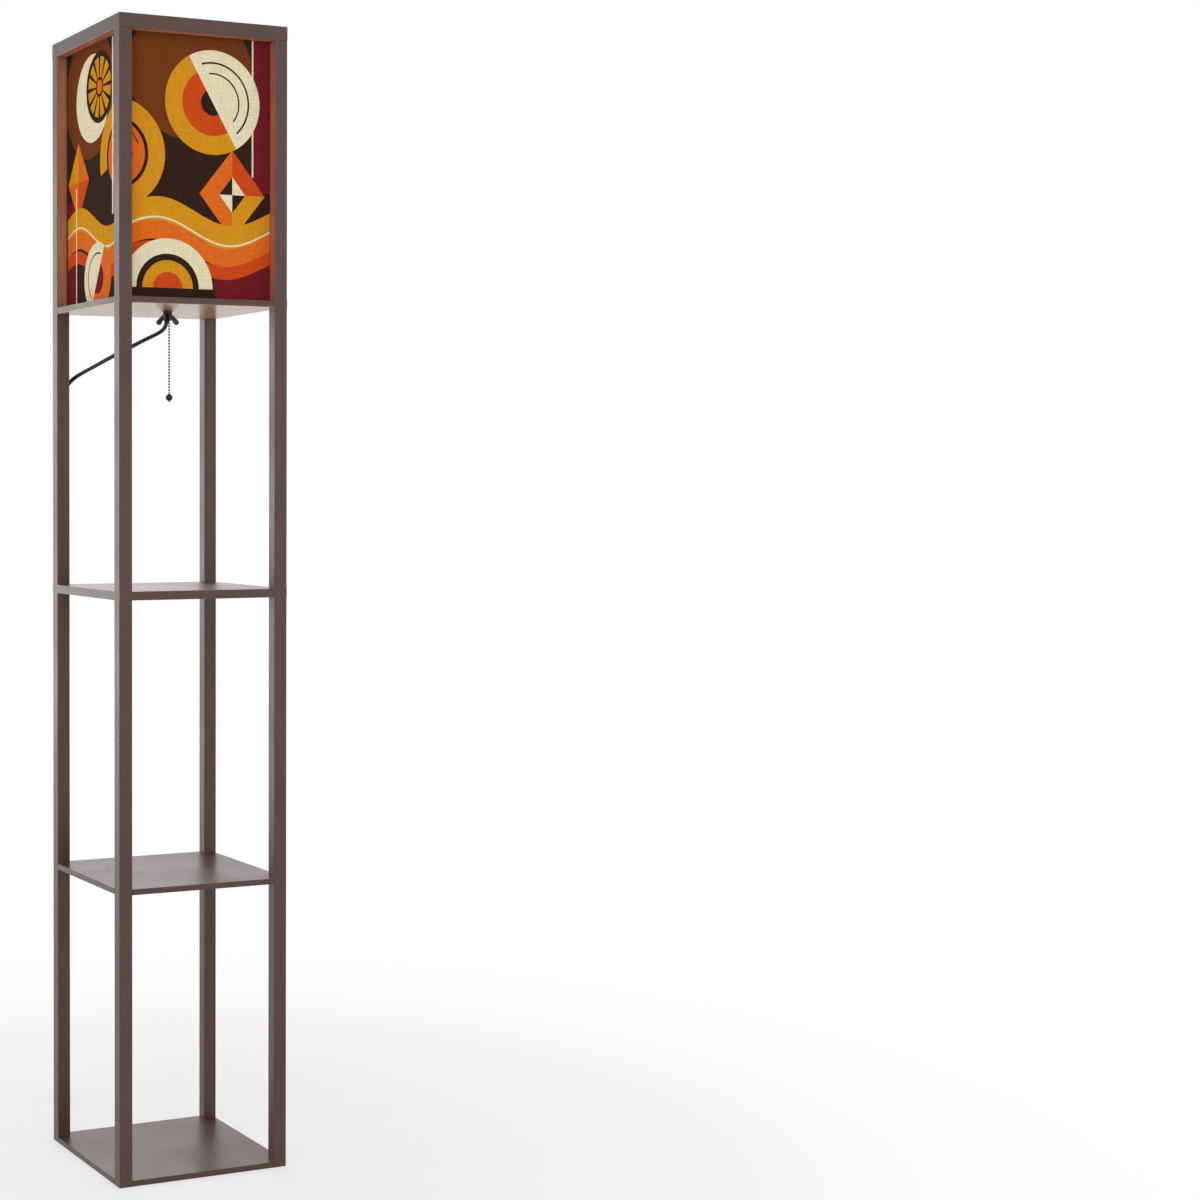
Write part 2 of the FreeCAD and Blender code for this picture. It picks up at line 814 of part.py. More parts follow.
TURN_TO_CORD = Rotation(Vector(0, 0, 1), value("Sizes.cord_bearing"))
CHAIN_X = value("-Sizes.chain_offset * cos(Sizes.cord_bearing * 1 deg)")
CHAIN_Y = value("-Sizes.chain_offset * sin(Sizes.cord_bearing * 1 deg)")


def flat_lead(name, spare, length, kept=True):
    """A stretch of flat cord beside the nipple's axis. Its broad faces look along the bearing."""
    body = new_body(name, kept=kept)
    half = f"(Sizes.lead_thickness / 2 + {spare})"
    wide = f"(Sizes.lead_width / 2 + {spare})"
    outline = [
        (f"Sizes.cord_offset - {half}", f"-{wide}"),
        (f"Sizes.cord_offset + {half}", f"-{wide}"),
        (f"Sizes.cord_offset + {half}", wide),
        (f"Sizes.cord_offset - {half}", wide),
    ]
    pad(body, polygon(body, "section", "XY_Plane", outline), length)
    ease(body, is_upright, "0.48 * Sizes.lead_thickness")
    return body


def inner_lead():
    body = flat_lead("inner_lead", "0", f"{BLOCK_BASE} - {NIPPLE_BASE}")
    at(body, z=NIPPLE_BASE, turn=TURN_TO_CORD)


def cord_bushing():
    """A clip in the nipple's mouth. It holds the cord by its edges, clear of the chain."""
    body = new_body("cord_bushing_disc", kept=False)
    outer = ["Sizes.nipple_bore_radius - Sizes.round_fit"]
    disc = circles(body, "disc", "XY_Plane", [("0", "0")], outer)
    pad(body, disc, "Sizes.bushing_length")
    open_side = "(Sizes.cord_offset - 0.3 * Sizes.lead_thickness)"
    over = "Sizes.nipple_bore_radius"
    gap = [
        (f"-{over}", f"-{over}"),
        (open_side, f"-{over}"),
        (open_side, over),
        (f"-{over}", over),
    ]
    cut = polygon(body, "open_side", "XY_Plane", gap)
    pocket(body, cut, "Sizes.bushing_length", along_normal=True)
    slot = flat_lead("cord_slot", "Sizes.round_fit", "Sizes.bushing_length", kept=False)
    bushing = doc.addObject("Part::Cut", "cord_bushing")
    bushing.Base = body
    bushing.Tool = slot
    keep(bushing, "cord_bushing")
    at(bushing, z=NIPPLE_BASE, turn=TURN_TO_CORD)


inner_lead()
cord_bushing()

# ---------------------------------------------------------------- lamp holder with its pull switch


def socket_cap():
    """A metal cup on the nipple's upper end that holds the switch block."""
    inner_radius = "(Sizes.cap_radius - Sizes.cap_wall)"
    bore = "(Sizes.nipple_radius + Sizes.round_fit)"
    turned(
        new_body("socket_cap"),
        [
            (bore, HOLDER_BASE),
            ("Sizes.cap_hub_radius", HOLDER_BASE),
            ("Sizes.cap_hub_radius", f"{NIPPLE_TOP} - Sizes.cap_hub_radius"),
            ("Sizes.cap_radius", NIPPLE_TOP),
            ("Sizes.cap_radius", CAP_TOP),
            (inner_radius, CAP_TOP),
            (inner_radius, BLOCK_BASE),
            (bore, BLOCK_BASE),
        ],
    )


def switch_block():
    """The insulating block. The plunger and its spring run in a bore beside the middle."""
    body = new_body("switch_block")
    disc = circles(body, "disc", "XY_Plane", [("0", "0")], ["Sizes.block_radius"])
    pad(body, disc, "Sizes.block_height")
    spot = [("-Sizes.chain_offset", "0")]
    bore_radius = "Sizes.plunger_radius + Sizes.plunger_gap"
    bore = circles(body, "plunger_bore", "XY_Plane", spot, [bore_radius], "Sizes.block_floor")
    pocket(body, bore, "Sizes.block_height - Sizes.block_floor", along_normal=True)
    chain_radius = "Sizes.bead_radius + Sizes.chain_clearance"
    hole = circles(body, "chain_hole", "XY_Plane", spot, [chain_radius])
    pocket(body, hole, "Sizes.block_floor", along_normal=True)
    at(body, z=BLOCK_BASE, turn=TURN_TO_CORD)


def switch_spring():
    """The coil spring that returns the plunger, as the sleeve that its turns fill."""
    body = new_body("switch_spring")
    radii = ["Sizes.spring_outer_radius", "Sizes.spring_inner_radius"]
    ring = circles(body, "ring", "XY_Plane", [("-Sizes.chain_offset", "0")], radii)
    pad(body, ring, "Sizes.spring_length")
    at(body, z=SPRING_BASE, turn=TURN_TO_CORD)


def switch_plunger():
    body = new_body("switch_plunger")
    spot = [("-Sizes.chain_offset", "0")]
    disc = circles(body, "disc", "XY_Plane", spot, ["Sizes.plunger_radius"])
    pad(body, disc, "Sizes.plunger_height")
    at(body, z=PLUNGER_BASE, turn=TURN_TO_CORD)


def socket_shell():
    """The insulating sleeve round the screw shell. Its foot sits on the switch block."""
    body = new_body("socket_shell")
    inner = "(Sizes.shell_radius - Sizes.shell_wall)"
    ring = circles(body, "ring", "XY_Plane", [("0", "0")], ["Sizes.shell_radius", inner])
    pad(body, ring, "Sizes.shell_height")
    at(body, z=f"max({BLOCK_TOP}; {CAP_TOP})")


def screw_shell():
    """The metal thread liner that the bulb's cap turns in."""
    outer = f"({SCREW_SHELL_RADIUS} + Sizes.screw_shell_wall)"
    top = f"({BLOCK_TOP} + Sizes.screw_shell_height)"
    foot_radius = "Sizes.contact_radius + 2 * Sizes.contact_height"
    turned(
        new_body("screw_shell"),
        [
            (outer, BLOCK_TOP),
            (outer, top),
            (SCREW_SHELL_RADIUS, top),
            (SCREW_SHELL_RADIUS, f"{BLOCK_TOP} + Sizes.screw_shell_wall"),
            (foot_radius, f"{BLOCK_TOP} + Sizes.screw_shell_wall"),
            (foot_radius, BLOCK_TOP),
        ],
    )


def centre_contact():
    body = new_body("centre_contact")
    disc = circles(body, "disc", "XY_Plane", [("0", "0")], ["Sizes.contact_radius"])
    pad(body, disc, "Sizes.contact_height")
    at(body, z=BLOCK_TOP)


socket_cap()
switch_block()
switch_spring()
switch_plunger()
socket_shell()
screw_shell()
centre_contact()

# ---------------------------------------------------------------- bulb

THREAD_RIDGES = 5


def bulb_cap():
    """The bulb's metal cap, with rounded ridges for its thread."""
    ridge = "Sizes.bulb_cap_height / 8"
    deep = "0.95 * Sizes.bulb_cap_radius"
    points = [("0", BULB_CAP_BASE), ("Sizes.bulb_tip_radius + 1.5", BULB_CAP_BASE)]
    for i in range(THREAD_RIDGES):
        points.append((deep, f"{BULB_CAP_BASE} + {i + 1} * {ridge}"))
        points.append(("Sizes.bulb_cap_radius", f"{BULB_CAP_BASE} + {i + 1.5} * {ridge}"))
    points += [("Sizes.bulb_cap_radius", GLASS_BASE), ("0", GLASS_BASE)]
    turned(new_body("bulb_cap"), points)


def bulb_tip():
    body = new_body("bulb_contact")
    disc = circles(body, "disc", "XY_Plane", [("0", "0")], ["Sizes.bulb_tip_radius"])
    pad(body, disc, "Sizes.bulb_tip_height")
    at(body, z=BULB_TIP)


def bulb_envelope(neck, globe, height, low):
    """A straight neck that runs into a ball, turned once round the Z axis."""
    middle = height - globe
    lean = math.asin(globe / math.hypot(neck, middle)) - math.atan2(neck, middle)
    touch = Vector(globe * math.cos(lean), 0, middle - globe * math.sin(lean))
    half = (math.pi / 2 - lean) / 2 + lean
    shoulder = Vector(globe * math.cos(half), 0, middle + globe * math.sin(half))
    crown = Vector(0, 0, height)
    outline = [
        Part.makeLine(Vector(0, 0, low), Vector(neck, 0, low)),
        Part.makeLine(Vector(neck, 0, low), touch),
        Part.Arc(touch, shoulder, crown).toShape(),
        Part.makeLine(crown, Vector(0, 0, low)),
    ]
    return Part.Face(Part.Wire(outline)).revolve(Vector(), Vector(0, 0, 1), 360)


def bulb_glass():
    wall = value("Sizes.bulb_glass_wall")
    neck = value("Sizes.bulb_cap_radius")
    globe = value("Sizes.bulb_radius")
    height = value("Sizes.bulb_height")
    outside = bulb_envelope(neck, globe, height, 0.0)
    inside = bulb_envelope(neck - wall, globe - wall, height - wall, 0.0)
    glass = shaped("bulb_glass", outside.cut(inside))
    at(glass, z=GLASS_BASE)


bulb_cap()
bulb_tip()
bulb_glass()

# ---------------------------------------------------------------- pull chain


def beads(top, bottom, centres):
    """Beads on one wire, in one solid."""
    wire = value("Sizes.chain_wire_radius")
    strand = Part.makeCylinder(wire, top - bottom, Vector(CHAIN_X, CHAIN_Y, bottom))
    radius = value("Sizes.bead_radius")
    balls = [Part.makeSphere(radius, Vector(CHAIN_X, CHAIN_Y, z)) for z in centres]
    return strand.fuse(balls)


def pull_chain():
    """A rigid run inside the nipple, one bead that it hangs from, and the drop with its ball."""
    pitch = value("Sizes.bead_pitch")
    radius = value("Sizes.bead_radius")
    swivel = value(SWIVEL_Z)
    gap = value("Sizes.chain_clearance")
    top = value(PLUNGER_BASE)
    count = int((top - swivel - radius) / pitch)
    shaped(
        "chain_upper_run",
        beads(top, swivel + radius + gap, [swivel + pitch * (i + 1) for i in range(count)]),
    )
    shaped("chain_swivel_bead", Part.makeSphere(radius, Vector(CHAIN_X, CHAIN_Y, swivel)))
    drop_count = int(value("Sizes.beads_in_drop"))
    ball_top = swivel - pitch * drop_count - radius
    centres = [swivel - pitch * (i + 1) for i in range(drop_count)]
    shaped("chain_drop", beads(swivel - radius - gap, ball_top, centres))
    ball_radius = value("Sizes.pull_ball_radius")
    middle = Vector(CHAIN_X, CHAIN_Y, ball_top - ball_radius)
    tip = Part.makeCone(
        value("Sizes.pull_tip_radius"),
        value("Sizes.pull_tip_radius") / 2,
        value("Sizes.pull_tip_height") + 1,
        middle - Vector(0, 0, ball_radius - 1),
        Vector(0, 0, -1),
    )
    shaped("pull_ball", Part.makeSphere(ball_radius, middle).fuse(tip))


pull_chain()

# ---------------------------------------------------------------- mains cord

# The way of the flat cord from the nipple's mouth, round the back left post, down behind it
# through four clips, and straight back over the floor to the plug.
CORD_ROUTE = [
    (-1.3, 1.3, 1196.2),
    (-1.3, 1.3, 1191.8),
    (-2.3, 2.3, 1187.4),
    (-4.4, 4.4, 1183.4),
    (-8.0, 8.0, 1179.5),
    (-13.6, 13.8, 1175.8),
    (-22.0, 22.4, 1170.9),
    (-34.0, 34.7, 1163.2),
    (-49.0, 50.5, 1153.6),
    (-65.0, 67.3, 1142.9),
    (-79.5, 83.3, 1132.5),
    (-91.0, 98.5, 1124.2),
    (-98.6, 113.4, 1117.2),
    (-102.0, 127.6, 1109.4),
    (-106.6, 138.4, 1098.0),
    (-113.0, 142.2, 1082.0),
    (-117.6, 139.2, 1062.0),
    (-119.0, 134.2, 1040.0),
    (-118.5, 131.3, 1014.0),
    (-118.5, 131.3, 986.0),
    (-118.7, 134.0, 930.0),
    (-118.9, 135.6, 868.0),
    (-118.9, 135.4, 806.0),
    (-118.7, 133.9, 748.0),
    (-118.5, 131.3, 694.0),
    (-118.5, 131.3, 666.0),
    (-118.3, 134.1, 608.0),
    (-118.1, 135.8, 546.0),
    (-118.1, 135.5, 484.0),
    (-118.3, 134.0, 428.0),
    (-118.5, 131.3, 374.0),
    (-118.5, 131.3, 346.0),
    (-118.7, 133.6, 296.0),
    (-118.8, 134.9, 238.0),
    (-118.7, 134.3, 182.0),
    (-118.6, 133.1, 132.0),
    (-118.5, 131.3, 96.0),
    (-118.5, 131.3, 72.0),
    (-118.4, 132.6, 48.0),
    (-117.6, 134.7, 30.0),
    (-115.3, 141.0, 17.2),
    (-110.7, 151.2, 8.2),
    (-104.5, 166.4, 2.7),
    (-94.0, 188.0, 2.6),
    (-83.0, 212.5, 2.6),
    (-73.5, 236.5, 2.7),
    (-65.0, 257.5, 4.3),
    (-58.0, 275.5, 6.0),
    (-52.5, 290.0, 6.0),
]


def rounded_path(points):
    """Straight runs joined by tangent arcs, with the smallest arc radius."""
    edges = []
    radii = []
    start = points[0]
    for before, here, after in zip(points, points[1:], points[2:]):
        way_in = (here - before).normalize()
        way_out = (after - here).normalize()
        half_turn = way_in.getAngle(way_out) / 2
        short = min((here - before).Length, (after - here).Length)
        radii.append(0.45 * short / math.tan(half_turn))
        first = here - way_in * (0.45 * short)
        last = here + way_out * (0.45 * short)
        inward = (way_out - way_in).normalize()
        sag = radii[-1] * (1 / math.cos(half_turn) - 1)
        edges.append(Part.LineSegment(start, first).toShape())
        edges.append(Part.Arc(first, here + inward * sag, last).toShape())
        start = last
    edges.append(Part.LineSegment(start, points[-1]).toShape())
    return Part.Wire(edges), radii


def cord():
    points = [Vector(*point) for point in CORD_ROUTE]
    path, radii = rounded_path(points)
    radius = value("Sizes.cord_radius")
    ring = Part.Wire(Part.Circle(points[0], points[1] - points[0], radius).toShape())
    tube = path.makePipeShell([ring], True, False)
    share = tube.Volume / (math.pi * radius**2 * path.Length)
    print(f"cord: {path.Length:.1f} mm long, volume is {share:.4f} of section times length")
    print("cord radii:", ", ".join(f"{r:.0f}" for r in radii))
    shaped("cord", tube)


def clip_block(height, number):
    """A moulded clip: a ring round the cord and a tab beside it for the nail."""
    ring = "(Sizes.cord_radius + Sizes.clip_fit + Sizes.clip_wall)"
    base = f"{height} - Sizes.clip_height / 2"
    block = box(
        f"clip_ring_{number}",
        f"{CLIP_X} - {ring}",
        HALF_Y,
        base,
        f"2 * {ring}",
        f"2 * {ring}",
        "Sizes.clip_height",
    )
    tab = box(
        f"clip_tab_{number}",
        f"{CLIP_X}",
        HALF_Y,
        base,
        f"{ring} + Sizes.clip_tab_length",
        "Sizes.clip_tab_thickness",
        "Sizes.clip_height",
    )
    whole = doc.addObject("Part::MultiFuse", f"clip_whole_{number}")
    whole.Shapes = [block, tab]
    bore = cylinder(
        f"clip_bore_{number}",
        "Sizes.cord_radius + Sizes.clip_fit",
        "2 * Sizes.clip_height",
        CLIP_X,
        CLIP_Y,
        f"{height} - Sizes.clip_height",
    )
    nail_hole = cylinder(
        f"clip_nail_hole_{number}",
        "Sizes.nail_radius + Sizes.round_fit",
        "2 * Sizes.clip_tab_thickness",
        NAIL_X,
        f"{HALF_Y} + 1.5 * Sizes.clip_tab_thickness",
        height,
        TURN_TO_BACK,
    )
    holes = doc.addObject("Part::MultiFuse", f"clip_holes_{number}")
    holes.Shapes = [bore, nail_hole]
    clip = doc.addObject("Part::Cut", f"clip_{number}")
    clip.Base = whole
    clip.Tool = holes
    return clip


def clip_nail(height, number):
    shank = cylinder(
        f"nail_shank_{number}",
        "Sizes.nail_radius",
        "Sizes.nail_length + Sizes.clip_tab_thickness - 1",
        NAIL_X,
        f"{HALF_Y} + Sizes.clip_tab_thickness",
        height,
        TURN_TO_BACK,
    )
    head = cylinder(
        f"nail_head_{number}",
        "Sizes.nail_head_radius",
        "Sizes.nail_head_height",
        NAIL_X,
        f"{HALF_Y} + Sizes.clip_tab_thickness + Sizes.nail_head_height",
        height,
        TURN_TO_BACK,
    )
    nail = doc.addObject("Part::MultiFuse", f"clip_nail_{number}")
    nail.Shapes = [shank, head]
    return nail


def plug():
    """A flat two-blade plug that lies on the floor, in line with the cord's last run."""
    end = Vector(*CORD_ROUTE[-1])
    way = end - Vector(*CORD_ROUTE[-2])
    heading = Rotation(Vector(1, 0, 0), Vector(way.x, way.y, 0))
    rear = end + Vector(way.x, way.y, 0).normalize() * value("Sizes.neck_length")
    half = "Sizes.plug_width / 2"
    nose = "Sizes.plug_nose"
    shell = doc.addObject("PartDesign::Body", "plug_shell")
    outline = [
        ("0", f"-0.65 * {half}"),
        (f"2 * {nose}", f"-{half}"),
        ("Sizes.plug_length", f"-{half}"),
        (f"Sizes.plug_length + {nose}", f"-0.8 * {half}"),
        (f"Sizes.plug_length + {nose}", f"0.8 * {half}"),
        ("Sizes.plug_length", half),
        (f"2 * {nose}", half),
        ("0", f"0.65 * {half}"),
    ]
    pad(shell, polygon(shell, "outline", "XY_Plane", outline), "Sizes.plug_thickness")
    ease(shell, is_level, f"{nose} / 2")
    neck = doc.addObject("Part::Cone", "plug_neck")
    neck.setExpression("Radius1", "Sizes.neck_start_radius")
    neck.setExpression("Radius2", "Sizes.neck_end_radius")
    neck.setExpression("Height", f"Sizes.neck_length + {nose}")
    at(neck, nose, "0", "Sizes.plug_thickness / 2", Rotation(Vector(0, 1, 0), -90))
    whole = doc.addObject("Part::MultiFuse", "plug_whole")
    whole.Shapes = [shell, neck]

    def blade(name, side):
        return box(
            name,
            f"Sizes.plug_length + {nose} - Sizes.blade_root",
            f"{side} * Sizes.blade_spacing / 2 - Sizes.blade_thickness / 2",
            "Sizes.plug_thickness / 2 - Sizes.blade_width / 2",
            "Sizes.blade_root + Sizes.blade_length",
            "Sizes.blade_thickness",
            "Sizes.blade_width",
        )

    slots = doc.addObject("Part::MultiFuse", "plug_slots")
    slots.Shapes = [blade("plug_slot_left", 1), blade("plug_slot_right", -1)]
    body = doc.addObject("Part::Cut", "plug_body")
    body.Base = whole
    body.Tool = slots
    keep(body, "plug_body")
    group("plug_blades", [blade("plug_blade_left", 1), blade("plug_blade_right", -1)])
    for thing in (body, nodes[-1]):
        thing.Placement = Placement(Vector(rear.x, rear.y, 0), heading)


cord()
clip_heights = LOW_CLIPS + HIGH_CLIPS
group("cord_clips", [clip_block(z, i) for i, z in enumerate(clip_heights, start=1)])
group("clip_nails", [clip_nail(z, i) for i, z in enumerate(clip_heights, start=1)])
plug()

# ---------------------------------------------------------------- checks and files

doc.recompute()
broken = [o.Name for o in doc.Objects if set(o.State) & {"Invalid", "Error"}]
assert not broken, f"failed objects: {broken}"
for thing in nodes:
    assert not thing.Shape.isNull() and thing.Shape.isValid(), thing.Label
labels = [thing.Label for thing in nodes]
assert len(set(labels)) == len(labels) <= 60
os.makedirs("parts", exist_ok=True)
for thing in nodes:
    thing.Shape.exportStep(f"parts/{thing.Label}.step")
print(f"{len(nodes)} sub-parts written")
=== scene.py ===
import json
import math

import bpy
import numpy as np
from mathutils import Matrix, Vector
from mathutils.geometry import delaunay_2d_cdt


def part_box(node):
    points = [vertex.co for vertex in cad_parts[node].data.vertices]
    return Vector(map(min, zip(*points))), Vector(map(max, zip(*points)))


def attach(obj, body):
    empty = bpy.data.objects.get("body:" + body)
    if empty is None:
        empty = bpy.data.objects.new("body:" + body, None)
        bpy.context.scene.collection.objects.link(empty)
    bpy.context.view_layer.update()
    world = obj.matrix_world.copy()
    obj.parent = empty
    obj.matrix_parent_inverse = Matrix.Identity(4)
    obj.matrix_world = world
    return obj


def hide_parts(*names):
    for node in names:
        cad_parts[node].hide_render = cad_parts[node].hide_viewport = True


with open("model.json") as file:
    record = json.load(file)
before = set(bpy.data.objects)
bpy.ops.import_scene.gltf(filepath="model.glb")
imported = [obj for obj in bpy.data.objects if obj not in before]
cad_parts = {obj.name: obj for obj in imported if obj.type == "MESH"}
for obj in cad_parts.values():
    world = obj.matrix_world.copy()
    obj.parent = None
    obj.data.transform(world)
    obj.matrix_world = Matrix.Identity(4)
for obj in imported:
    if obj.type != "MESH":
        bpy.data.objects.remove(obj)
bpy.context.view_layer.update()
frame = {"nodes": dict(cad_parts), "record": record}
nodes = frame["nodes"]
mm = 0.001
noiseCentre = (0.3, 0.7)   # most of a noise texture's values lie between these
print("frame loaded:", len(nodes), "nodes")


# small helpers

def linear(hexColour):
    # sRGB hex to the linear colour that the sockets take
    channels = [int(hexColour[i:i + 2], 16) / 255 for i in (1, 3, 5)]
    curved = [c / 12.92 if c <= 0.04045 else ((c + 0.055) / 1.055) ** 2.4 for c in channels]
    return (*curved, 1.0)


def addNode(tree, kind, values=None, **settings):
    # one node: its settings, then each input as a number or as the socket that feeds it
    node = tree.nodes.new(kind)
    for name, setting in settings.items():
        setattr(node, name, setting)
    for socket, value in (values or {}).items():
        if isinstance(value, bpy.types.NodeSocket):
            tree.links.new(value, node.inputs[socket])
        else:
            node.inputs[socket].default_value = value
    return node


def startMaterial(name, constants):
    # a material with the numbers that are the same all over set on the shader itself
    material = bpy.data.materials.new(name)
    material.use_nodes = True
    shader = material.node_tree.nodes["Principled BSDF"]
    for socket, value in constants.items():
        shader.inputs[socket].default_value = value
    return material, material.node_tree, shader


def addObject(name, data):
    piece = bpy.data.objects.new(name, data)
    bpy.context.scene.collection.objects.link(piece)
    return piece


def finishNodes(material, *names):
    for name in names:
        slots = nodes[name].data.materials
        slots.clear()
        slots.append(material)


# camera, at the photograph's place

camera = {
    "place": (-1.2984, -2.9561, 0.9622),
    "yaw": 23.725,      # degrees, from straight ahead towards the right
    "pitch": -1.414,
    "lens": 67.7,
    "shift": (0.36, -0.05),   # the lamp stands at the left of the picture
    "farthest": 100,
}


def makeCamera():
    data = bpy.data.cameras.new("camera")
    data.lens = camera["lens"]
    data.shift_x, data.shift_y = camera["shift"]
    data.clip_end = camera["farthest"]
    eye = addObject("camera", data)
    eye.location = camera["place"]
    eye.rotation_euler = (math.radians(90 + camera["pitch"]), 0, math.radians(-camera["yaw"]))
    bpy.context.scene.camera = eye
    bpy.context.scene.view_settings.view_transform = "Standard"


makeCamera()
print("camera set")


# the lead: flat two-core, black

lead = {
    "width": 6 * mm,
    "thickness": 3 * mm,
    "length": 1.457,
    "coreArc": 224,       # degrees of each core's round side outside the groove
    "coreSteps": 10,
    # height, then degrees about the lead's own line; it turns on its way to the post, where it lies flat
    "twist": [(1.196, 0), (1.165, 0), (1.142, 62), (1.122, 70), (1.112, 30), (1.06, 90),
              (0, 90)],
    "route": [   # metres, from the fitting to the plug
        (-0.0013, 0.0013, 1.1962), (-0.0013, 0.0013, 1.1918), (-0.0023, 0.0023, 1.1874),
        (-0.0044, 0.0044, 1.1834), (-0.008, 0.008, 1.1795), (-0.0136, 0.0138, 1.1758),
        (-0.022, 0.0224, 1.1709), (-0.034, 0.0347, 1.1632), (-0.049, 0.0505, 1.1536),
        (-0.065, 0.0673, 1.1429), (-0.0795, 0.0833, 1.1325), (-0.091, 0.0985, 1.1242),
        (-0.0986, 0.1134, 1.1172), (-0.102, 0.1276, 1.1094), (-0.1066, 0.1384, 1.098),
        (-0.113, 0.1422, 1.082), (-0.1176, 0.1392, 1.062), (-0.119, 0.1342, 1.04),
        (-0.1185, 0.1313, 1.014), (-0.1185, 0.1313, 0.986), (-0.1187, 0.134, 0.93),
        (-0.1189, 0.1356, 0.868), (-0.1189, 0.1354, 0.806), (-0.1187, 0.1339, 0.748),
        (-0.1185, 0.1313, 0.694), (-0.1185, 0.1313, 0.666), (-0.1183, 0.1341, 0.608),
        (-0.1181, 0.1358, 0.546), (-0.1181, 0.1355, 0.484), (-0.1183, 0.134, 0.428),
        (-0.1185, 0.1313, 0.374), (-0.1185, 0.1313, 0.346), (-0.1187, 0.1336, 0.296),
        (-0.1188, 0.1349, 0.238), (-0.1187, 0.1343, 0.182), (-0.1186, 0.1331, 0.132),
        (-0.1185, 0.1313, 0.096), (-0.1185, 0.1313, 0.072), (-0.1184, 0.1326, 0.048),
        (-0.1176, 0.1347, 0.03), (-0.1153, 0.141, 0.0172), (-0.1107, 0.1512, 0.0082),
        (-0.1045, 0.1664, 0.0027), (-0.094, 0.188, 0.0026), (-0.083, 0.2125, 0.0026),
        (-0.0735, 0.2365, 0.0027), (-0.065, 0.2575, 0.0043), (-0.058, 0.2755, 0.006),
        (-0.0525, 0.29, 0.006),
    ],
}


def leadProfile():
    # two round cores side by side in one jacket, a shallow groove between them; drawn in half widths
    core = lead["thickness"] / lead["width"]
    arc, steps = lead["coreArc"], lead["coreSteps"]
    outline = []
    for side in (0, math.pi):
        for i in range(steps + 1):
            angle = math.radians(-arc / 2 + arc * i / steps) + side
            middle = math.cos(side) * (1 - core)
            outline.append((middle + core * math.cos(angle), core * math.sin(angle)))
    curve = bpy.data.curves.new("leadProfile", "CURVE")
    curve.dimensions = "2D"
    spline = curve.splines.new("POLY")
    spline.points.add(len(outline) - 1)
    for point, (x, y) in zip(spline.points, outline):
        point.co = (x, y, 0, 1)
    spline.use_cyclic_u = True
    profile = addObject("leadProfile", curve)
    profile.hide_render = True
    profile.hide_viewport = True
    return profile


def leadTwist(place):
    heights, turns = zip(*lead["twist"])
    return float(np.interp(place[2], heights[::-1], turns[::-1]))


def makeLead():
    curve = bpy.data.curves.new("lead", "CURVE")
    curve.dimensions = "3D"
    curve.resolution_u = 12
    spline = curve.splines.new("NURBS")
    spline.points.add(len(lead["route"]) - 1)
    for point, place in zip(spline.points, lead["route"]):
        point.co = (*place, 1)
        point.radius = lead["width"] / 2
        point.tilt = math.radians(leadTwist(place))
    spline.order_u = 3
    spline.use_endpoint_u = True
    curve.bevel_mode = "OBJECT"
    curve.bevel_object = leadProfile()
    curve.use_fill_caps = True
    return addObject("lead", curve)


leadPiece = makeLead()
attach(leadPiece, "frame")
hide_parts("cord")
print("lead laid")


# floor, backdrop and studio light

studio = {
    "floorColour": "#F4F2EF",
    "floorSize": 60.0,
    "nearWhite": 0.6,        # how far the floor is taken to white beside the lamp
    "whiteFrom": 0.35,       # metres from the lamp where it starts to fade to full white
    "whiteAt": 1.5,
    "ambient": 0.5,
    "aim": (0, 0, 0.8),      # where the lights point
}
softLights = {
    # name: place, size in metres, watts
    "keyLight": ((-2.6, -3.0, 2.6), 2.2, 42),
    "fillLight": ((2.8, -2.6, 1.8), 2.2, 20),
    "backLight": ((0.8, 3.4, 2.6), 2.0, 22),
    "glossLight": ((-1.9, 3.4, 0.8), 2.4, 30),   # mostly seen as sheen on the lamp's left faces
}


def seenRays(tree):
    # 1 for what the camera sees straight, in gloss or through glass, and 0 for light on the object
    rays = addNode(tree, "ShaderNodeLightPath")
    seen = rays.outputs["Is Camera Ray"]
    for kind in ("Is Glossy Ray", "Is Transmission Ray"):
        either = addNode(tree, "ShaderNodeMath", {0: seen, 1: rays.outputs[kind]}, operation="MAXIMUM")
        seen = either.outputs[0]
    return seen


def makeWorld():
    world = bpy.data.worlds.new("studio")
    bpy.context.scene.world = world
    world.use_nodes = True
    tree = world.node_tree
    tree.nodes.clear()
    white = (1, 1, 1, 1)
    light = addNode(tree, "ShaderNodeBackground", {"Color": white, "Strength": studio["ambient"]})
    backdrop = addNode(tree, "ShaderNodeBackground", {"Color": white, "Strength": 1.0})
    mix = addNode(tree, "ShaderNodeMixShader", {
        0: seenRays(tree), 1: light.outputs[0], 2: backdrop.outputs[0]})
    addNode(tree, "ShaderNodeOutputWorld", {"Surface": mix.outputs[0]})


